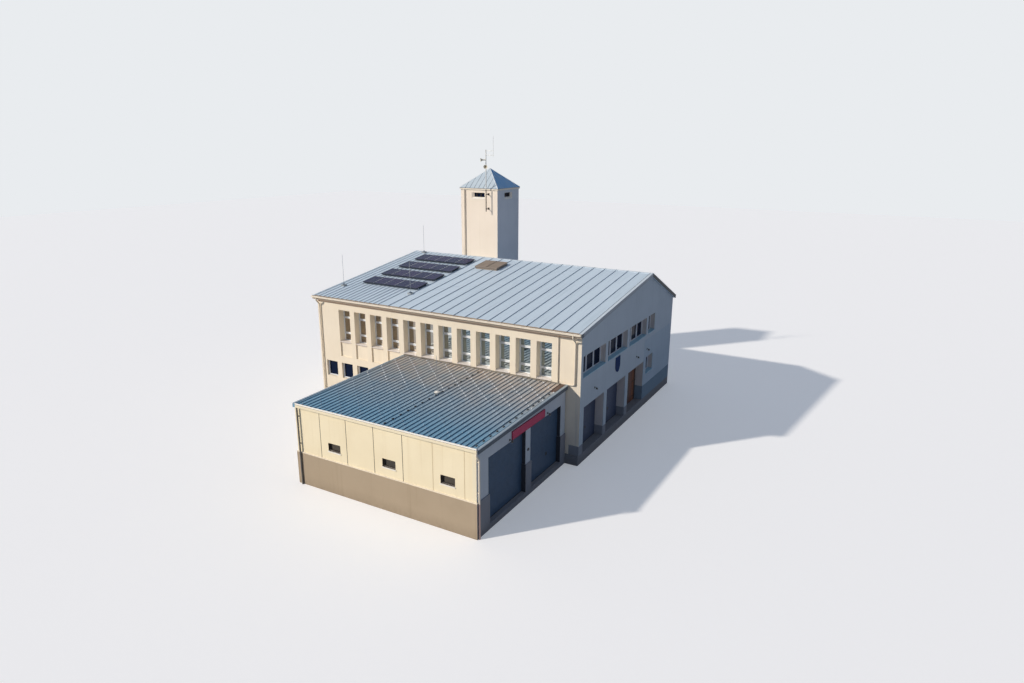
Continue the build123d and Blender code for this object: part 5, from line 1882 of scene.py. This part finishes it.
@dataclass
class SolarRows(SubAssembly):
    """Frames, feet and pipes of the solar collectors."""

    rim: float = 0.02
    rim_proud: float = 0.006
    rim_gap: float = 0.004
    cover: float = 0.03
    pipe_inset: float = 0.1
    pipe_lap: float = 0.01
    pipe_radius: float = 0.014
    flow_radius: float = 0.02
    flow_route: tuple[Span, ...] = ((-0.01, 0.0), (0.08, 0.0), (0.14, -0.03), (0.16, -0.08))
    flow_foot: float = 0.09
    foot_first: float = 0.15
    foot_half: Span = (0.02, 0.025)
    foot_height: float = 0.03

    def build(self) -> None:
        """Dresses the collectors and gives each a dark rim, with a pale cover over each joint."""
        self.dress(Coats.rail, "solar_rails")
        turn = RoofPlane.of_node("hall_roof_left").turn()
        boxes = sorted(boxes_of("solar_collectors", turn.inverted()), key=lambda b: b.low.y)
        rims, pipes, covers = Draft(), Draft(), Draft()
        rows: dict[float, list[Box]] = {}
        for box in boxes:
            grown = box.grown(self.rim_gap)
            rims.ring(Axis.Z, grown.span(Axis.X), grown.span(Axis.Y), self.rim,
                      (box.high.z + self.rim_proud, box.low.z), self.rim_proud)
            rows.setdefault(round(box.low.x, 1), []).append(box)
        for row in rows.values():
            for first, second in zip(row, row[1:]):
                joint, top = (first.high.y + second.low.y) / 2, first.high.z
                covers.block((first.low.x, joint - self.cover / 2, top - SUNK),
                             (first.high.x, joint + self.cover / 2, top + self.rim_proud + self.rim_gap))
                for x in (first.low.x + self.pipe_inset, first.high.x - self.pipe_inset):
                    ends = (first.high.y - self.pipe_lap, second.low.y + self.pipe_lap)
                    pipes.tube([(x, y, first.middle().z) for y in ends], self.pipe_radius, 10)
            self.end_pipe(pipes, row[0])
        self.dress(replace(Coats.collector, panel=boxes[0].size(Axis.Y), origin=boxes[0].low.y),
                   "solar_collectors")
        self.add("collector_rims", rims, Coats.rim, "rail_metal", turn=turn)
        self.add("collector_joint_covers", covers, Coats.rail, "rail_metal", turn=turn)
        self.add("collector_pipes", pipes, Coats.zinc, "rail_metal", turn=turn)
        self.rail_feet(turn)

    def end_pipe(self, draft: Draft, panel: Box) -> None:
        """The row's flow pipe, from its front end down to the roof."""
        x, level = panel.high.x - self.pipe_inset, panel.middle().z
        route = [(x, panel.low.y - out, level + lift) for out, lift in self.flow_route]
        draft.tube((*route, (x, route[-1][1], panel.low.z - self.flow_foot)), self.flow_radius)

    def rail_feet(self, turn: Matrix) -> None:
        """Clamps that hold each rail to the roof's seams."""
        draft, (wide, long) = Draft(), self.foot_half
        for box in boxes_of("solar_rails", turn.inverted()):
            y = box.low.y + self.foot_first
            while y < box.high.y:
                draft.block((box.low.x - wide, y - long, box.low.z - SUNK),
                            (box.high.x + wide, y + long, box.low.z + self.foot_height))
                y += HallRoof.narrow_pitch
        self.add("collector_rail_feet", draft, Coats.zinc, "rail_metal", turn=turn)


@dataclass
class RoofFittings(SubAssembly):
    """Hatch, gutters, downpipe collars and lightning rods."""

    hatch_seam: Span = (0.015, 0.03)
    hatch_rim: Span = (0.05, 0.012)
    hatch_bead: float = 0.006
    bracket_pitch: float = 0.8
    bracket_half: Span = (0.006, 0.012)
    hall_bead: float = 0.012
    annex_bead: float = 0.018
    bead_sunk: float = 0.004
    collar_first: float = 1.2
    collar_pitch: float = 2.0
    collar_last: float = 0.5
    collar: Outline = ((-0.002, 0.0), (0.006, 0.004), (0.006, 0.07), (-0.002, 0.078))
    annex_top: float = 6.0
    hall_foot: float = 0.12
    annex_foot: float = 0.17
    foot_section: Outline = ((0.06, 0.055), (0.03, 0.09), (0.0, 0.09))

    def build(self) -> None:
        """Dresses the fittings and adds their small parts."""
        for finish, node in ((Coats.hatch, "roof_hatch"), (Coats.trim, "hall_gutters"),
                             (Coats.pipe, "downpipes"), (Coats.annex_gutter, "annex_gutter"),
                             (Coats.zinc, "lightning_rods")):
            self.dress(finish, node)
        self.hatch_folds()
        annex = RoofPlane.of_node("annex_roof")
        drop = node_box("annex_gutter").high.z - annex.height(annex.low_x) - 0.01
        self.gutter_parts("hall", "hall_gutters", 0.0, self.hall_bead)
        self.gutter_parts("annex", "annex_gutter", drop, self.annex_bead)
        self.collars()
        self.rod_feet()

    def hatch_folds(self) -> None:
        """A seam across the hatch's lid and a folded rim round it."""
        turn = RoofPlane.of_node("hall_roof_left").turn()
        lid = boxes_of("roof_hatch", turn.inverted())[0]
        middle, top = lid.middle().y, lid.high.z
        (half, height), (wide, proud) = self.hatch_seam, self.hatch_rim
        draft = Draft().block((lid.low.x, middle - half, top - SUNK),
                              (lid.high.x, middle + half, top + height))
        draft.ring(Axis.Z, lid.span(Axis.X), lid.span(Axis.Y), wide, (top + proud, top - SUNK),
                   self.hatch_bead)
        self.add("roof_hatch_folds", draft, Coats.hatch, "hatch_brown", turn=turn)

    def gutter_parts(self, name: str, node: str, fall: float, radius: float) -> None:
        """Brackets across each gutter and a rolled bead on its front edge.

        Args:
            name: Hall or annex, for the pieces' names.
            node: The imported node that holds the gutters.
            fall: How far the inner edge lies below the bead.
            radius: Radius of the bead.
        """
        beads, (half, wide) = Draft(), self.bracket_half
        for number, box in enumerate(boxes_of(node)):
            left = box.middle().x < 5
            outer, inward = (box.low.x, 1) if left else (box.high.x, -1)
            reach, middle = inward * box.size(Axis.X), outer + inward * radius * 0.7
            beads.tube([(middle, y, box.high.z - self.bead_sunk) for y in box.span(Axis.Y)], radius, 8)
            bracket = Draft().prism(((0.0, -half), (0.0, half), (reach, half - fall), (reach, -half - fall)),
                                    Axis.Y, (-wide, wide))
            pitch = self.bracket_pitch
            rows = Rows((outer, box.low.y + pitch / 2, box.high.z), (0.0, pitch, 0.0),
                        int(box.size(Axis.Y) / pitch))
            self.add(f"{name}_gutter_brackets_{number}", bracket, Coats.white_trim, "pale_trim", rows=rows)
        self.add(f"{name}_gutter_beads", beads, Coats.white_trim, "pale_trim")

    def collars(self) -> None:
        """Sockets of the downpipes, where one length ends in the next."""
        draft = Draft()
        for low, high in (run for points in solids_of("downpipes") for run in self.upright_runs(points)):
            centre, radius = low.middle(), low.size(Axis.X) / 2
            profile = [(radius + out, lift) for out, lift in self.collar]
            level = low.low.z + self.collar_first
            while level < high.low.z - self.collar_last:
                draft.lathe(profile, (centre.x, centre.y, level), sides=20)
                level += self.collar_pitch
        self.add("downpipe_collars", draft, Coats.pipe, "pale_trim")

    @staticmethod
    def upright_runs(points: list[Vector]) -> list[tuple[Box, Box]]:
        """Finds a pipe's upright runs, each as the boxes of its lowest and its highest ring."""
        rings: dict[float, list[Vector]] = {}
        for point in points:
            rings.setdefault(round(point.z, 2), []).append(point)
        boxes = [box_of(ring) for _, ring in sorted(rings.items()) if len(ring) > 8]
        return [(low, high) for low, high in zip(boxes, boxes[1:])
                if high.low.z - low.high.z > 1.0 and (high.middle() - low.middle()).xy.length < 0.01
                and abs(low.size(Axis.X) - high.size(Axis.X)) < 0.004]

    def rod_feet(self) -> None:
        """Rounded weights over the feet of the lightning rods."""
        hall, annex = Draft(), Draft()
        for points in solids_of("lightning_rods"):
            box = box_of(points)
            middle = box.middle()
            foot_top = max(p.z for p in points if abs(p.x - middle.x) > 0.1)
            draft, width = (annex, self.annex_foot) if box.low.z < self.annex_top else (hall, self.hall_foot)
            profile = ((0.0, -SUNK), (width, -SUNK), (width - 0.01, 0.03), *self.foot_section)
            draft.lathe(profile, (middle.x, middle.y, foot_top))
        self.add("hall_rod_weights", hall, Coats.fold, "concrete")
        self.add("annex_rod_weight", annex, Coats.white_trim, "concrete")


@dataclass
class FrontFittings(SubAssembly):
    """Lamps, the bare badge and the bare sign on the front faces."""

    lens: Outline = ((0.0, 0.0), (0.85, 0.0), (0.68, -0.02), (0.0, -0.03))
    rim: float = 0.03
    rim_outside: float = 0.012
    rim_proud: float = 0.01
    rim_bead: float = 0.006
    screw: Outline = ((0.0, 0.002), (0.009, 0.002), (0.009, -0.004), (0.0, -0.006))
    screws: int = 8
    screw_inset: Span = (0.08, 0.05)
    badge_section: tuple[Span, ...] = ((1.0, 0.0), (1.0, 0.012), (0.93, 0.012), (0.9, 0.0))

    def build(self) -> None:
        """Dresses the fittings and gives them rims, lenses and screws."""
        self.dress(Coats.lamp, "wall_lamps")
        self.dress(Coats.badge, "blank_badge")
        self.dress(Coats.sign, "blank_sign")
        self.lamp_lenses()
        self.sign_rim()
        self.badge_rim()

    def lamp_lenses(self) -> None:
        """A pale lens in the mouth of each lamp."""
        draft = Draft()
        for points in solids_of("wall_lamps"):
            foot = box_of(points).low.z
            mouth = box_of([p for p in points if p.z < foot + 0.01])
            centre, radius = mouth.middle(), mouth.size(Axis.X) / 2
            profile = [(share * radius, lift) for share, lift in self.lens]
            draft.lathe(profile, (centre.x, centre.y, foot + SUNK))
        self.add("lamp_lenses", draft, Coats.lamp_lens, "lamp_metal")

    def sign_rim(self) -> None:
        """A pale rim round the bare red plate, and the screws that hold it."""
        box = node_box("blank_sign")
        grown = box.grown(self.rim_outside)
        draft = Draft().ring(Axis.Y, grown.span(Axis.X), grown.span(Axis.Z), self.rim,
                             (box.low.y - self.rim_proud, box.high.y), self.rim_bead)
        self.add("sign_rim", draft, Coats.sign_rim, "pale_trim")
        side, foot = self.screw_inset
        rows = Rows((box.low.x + side, box.low.y, box.low.z + foot),
                    ((box.size(Axis.X) - 2 * side) / (self.screws - 1), 0.0, 0.0), self.screws,
                    (0.0, 0.0, box.size(Axis.Z) - 2 * foot), 2)
        screw = Draft().lathe(self.screw, axis=Axis.Y, sides=12)
        self.add("sign_screws", screw, Coats.rail, "rail_metal", rows=rows)

    def badge_rim(self) -> None:
        """A raised rim that follows the badge's outline."""
        box = node_box("blank_badge")
        centre, front = box.middle(), box.low.y
        found = {(round(p.x, 4), round(p.z, 4)) for p in points_of("blank_badge") if p.y < front + 1e-4}
        edge = sorted(((x - centre.x, z - centre.z) for x, z in found), key=lambda p: math.atan2(p[1], p[0]))
        rings = [[Vector((centre.x + x * share, front - proud, centre.z + z * share)) for x, z in edge]
                 for share, proud in self.badge_section]
        self.add("badge_rim", Draft().loft(rings, closed=True), Coats.badge_rim, "rail_metal")


@dataclass
class SirenMast(SubAssembly):
    """Clamps and cap of the siren mast."""

    brackets: Span = (14.265, 15.485)
    clamps: Span = (0.012, 0.038)
    clamp: Outline = ((-0.002, -0.006), (0.01, -0.006), (0.01, 0.006), (-0.002, 0.006))
    cap_wider: float = 0.006
    cap: Span = (0.02, 0.045)

    def build(self) -> None:
        """Dresses the mast and adds its clamps."""
        self.dress(Coats.mast, "siren_mast")
        self.dress(Coats.horn, "siren_horns")
        points, foot = points_of("siren_mast"), node_box("siren_mast").low.z
        pole = box_of([p for p in points if p.z < foot + 0.01])
        centre, radius = pole.middle(), pole.size(Axis.X) / 2
        top = max(p.z for p in points if (p.xy - centre.xy).length < radius * 1.05)
        draft, wide = Draft(), radius + self.cap_wider
        profile = [(radius + out, lift) for out, lift in self.clamp]
        for level in (bracket + lift for bracket in self.brackets for lift in self.clamps):
            draft.lathe(profile, (centre.x, centre.y, level), sides=20)
        draft.lathe(((0.0, 0.0), (wide, 0.0), (wide, self.cap[0]), (0.0, self.cap[1])),
                    (centre.x, centre.y, top - SUNK))
        self.add("siren_mast_clamps", draft, Coats.mast, "mast_steel")


@dataclass
class Studio:
    """Floor, world, lamps and the camera at the photograph's angle."""

    eye: Point = (-36.67, -16.04, 19.51)
    heading: float = 1.054
    pitch: float = 0.277
    roll: float = 0.005
    lens: float = 24.22
    sensor: float = 36.0
    sight: float = 1000.0
    sun_from: Point = (-1.0, 0.87, 0.725)
    sun_power: float = 3.4
    sun_spread: float = 1.6
    sun_tint: str = "#fff4e6"
    fill: float = 0.30
    fill_tint: str = "#b9cdf0"
    shown_tint: str = "#e9ecef"
    floor_size: float = 400.0
    floor_shown: str = "#ecedee"
    floor_lift: float = 0.3
    floor_tone: str = "#b9bcc0"

    def build(self) -> None:
        """Makes the stage."""
        self.floor()
        self.world()
        self.sun()
        self.camera()

    def floor(self) -> None:
        """A plain floor at the lowest ground, which the camera and mirrors see pale."""
        span = (-self.floor_size / 2, self.floor_size / 2)
        mesh = bpy.data.meshes.new("stage_floor")
        mesh.from_pydata([(x, y, 0) for x, y in corners(span, span)], [], [(0, 1, 2, 3)])
        shader = Shader("stage_floor")
        seen = shader.seen()
        shader.feed("Base Color", shader.blend(seen, self.floor_tone, self.floor_shown))
        shader.feed("Emission Strength", shader.math("MULTIPLY", seen, self.floor_lift))
        shader.constant(Roughness=0.9, Specular_IOR_Level=0.2, Emission_Color=tint(self.shown_tint))
        mesh.materials.append(shader.material)
        linked("stage_floor", mesh)

    def world(self) -> None:
        """Soft fill from all sides; the camera and reflections see a pale backdrop."""
        world = bpy.data.worlds.new("studio")
        bpy.context.scene.world = world
        world.use_nodes = True
        world.node_tree.nodes.clear()
        nodes = Nodes(world.node_tree)
        mix = nodes.add("ShaderNodeMixShader")
        nodes.put(nodes.seen(), mix.inputs[0])
        for number, colour, strength in ((1, self.fill_tint, self.fill), (2, self.shown_tint, 1.0)):
            light = nodes.add("ShaderNodeBackground")
            nodes.put(tint(colour), light.inputs["Color"])
            nodes.put(strength, light.inputs["Strength"])
            nodes.put(light.outputs[0], mix.inputs[number])
        nodes.put(mix.outputs[0], nodes.add("ShaderNodeOutputWorld").inputs["Surface"])

    def sun(self) -> None:
        """A low warm key light from the back left, as in the photograph."""
        lamp = bpy.data.lights.new("key", "SUN")
        lamp.energy = self.sun_power
        lamp.angle = math.radians(self.sun_spread)
        lamp.color = tint(self.sun_tint)[:3]
        key = linked("key", lamp)
        key.rotation_mode = "QUATERNION"
        key.rotation_quaternion = (-Vector(self.sun_from)).to_track_quat("-Z", "Y")

    def camera(self) -> None:
        """The camera, from its place, heading, pitch and roll."""
        data = bpy.data.cameras.new("camera")
        data.sensor_width = self.sensor
        data.lens = self.lens
        data.clip_end = self.sight
        camera = linked("camera", data)
        camera.matrix_world = (Matrix.Translation(self.eye) @ Matrix.Rotation(-self.heading, 4, "Z")
                               @ Matrix.Rotation(math.pi / 2 - self.pitch, 4, "X")
                               @ Matrix.Rotation(self.roll, 4, "Z"))
        bpy.context.scene.camera = camera


def main() -> None:
    """Builds every sub-assembly in order and reports each piece."""
    logging.basicConfig(level=logging.INFO, format="%(message)s")
    bpy.context.scene.view_settings.view_transform = "Standard"
    Studio().build()
    for group in (Walls(), HallRoof(), AnnexRoof(), TowerRoof(), Windows(), TallSills(), OverheadDoors(),
                  HingedBay(), SolarRows(), RoofFittings(), FrontFittings(), SirenMast()):
        group.build()
        group.report()


if __name__ == "__main__":
    main()
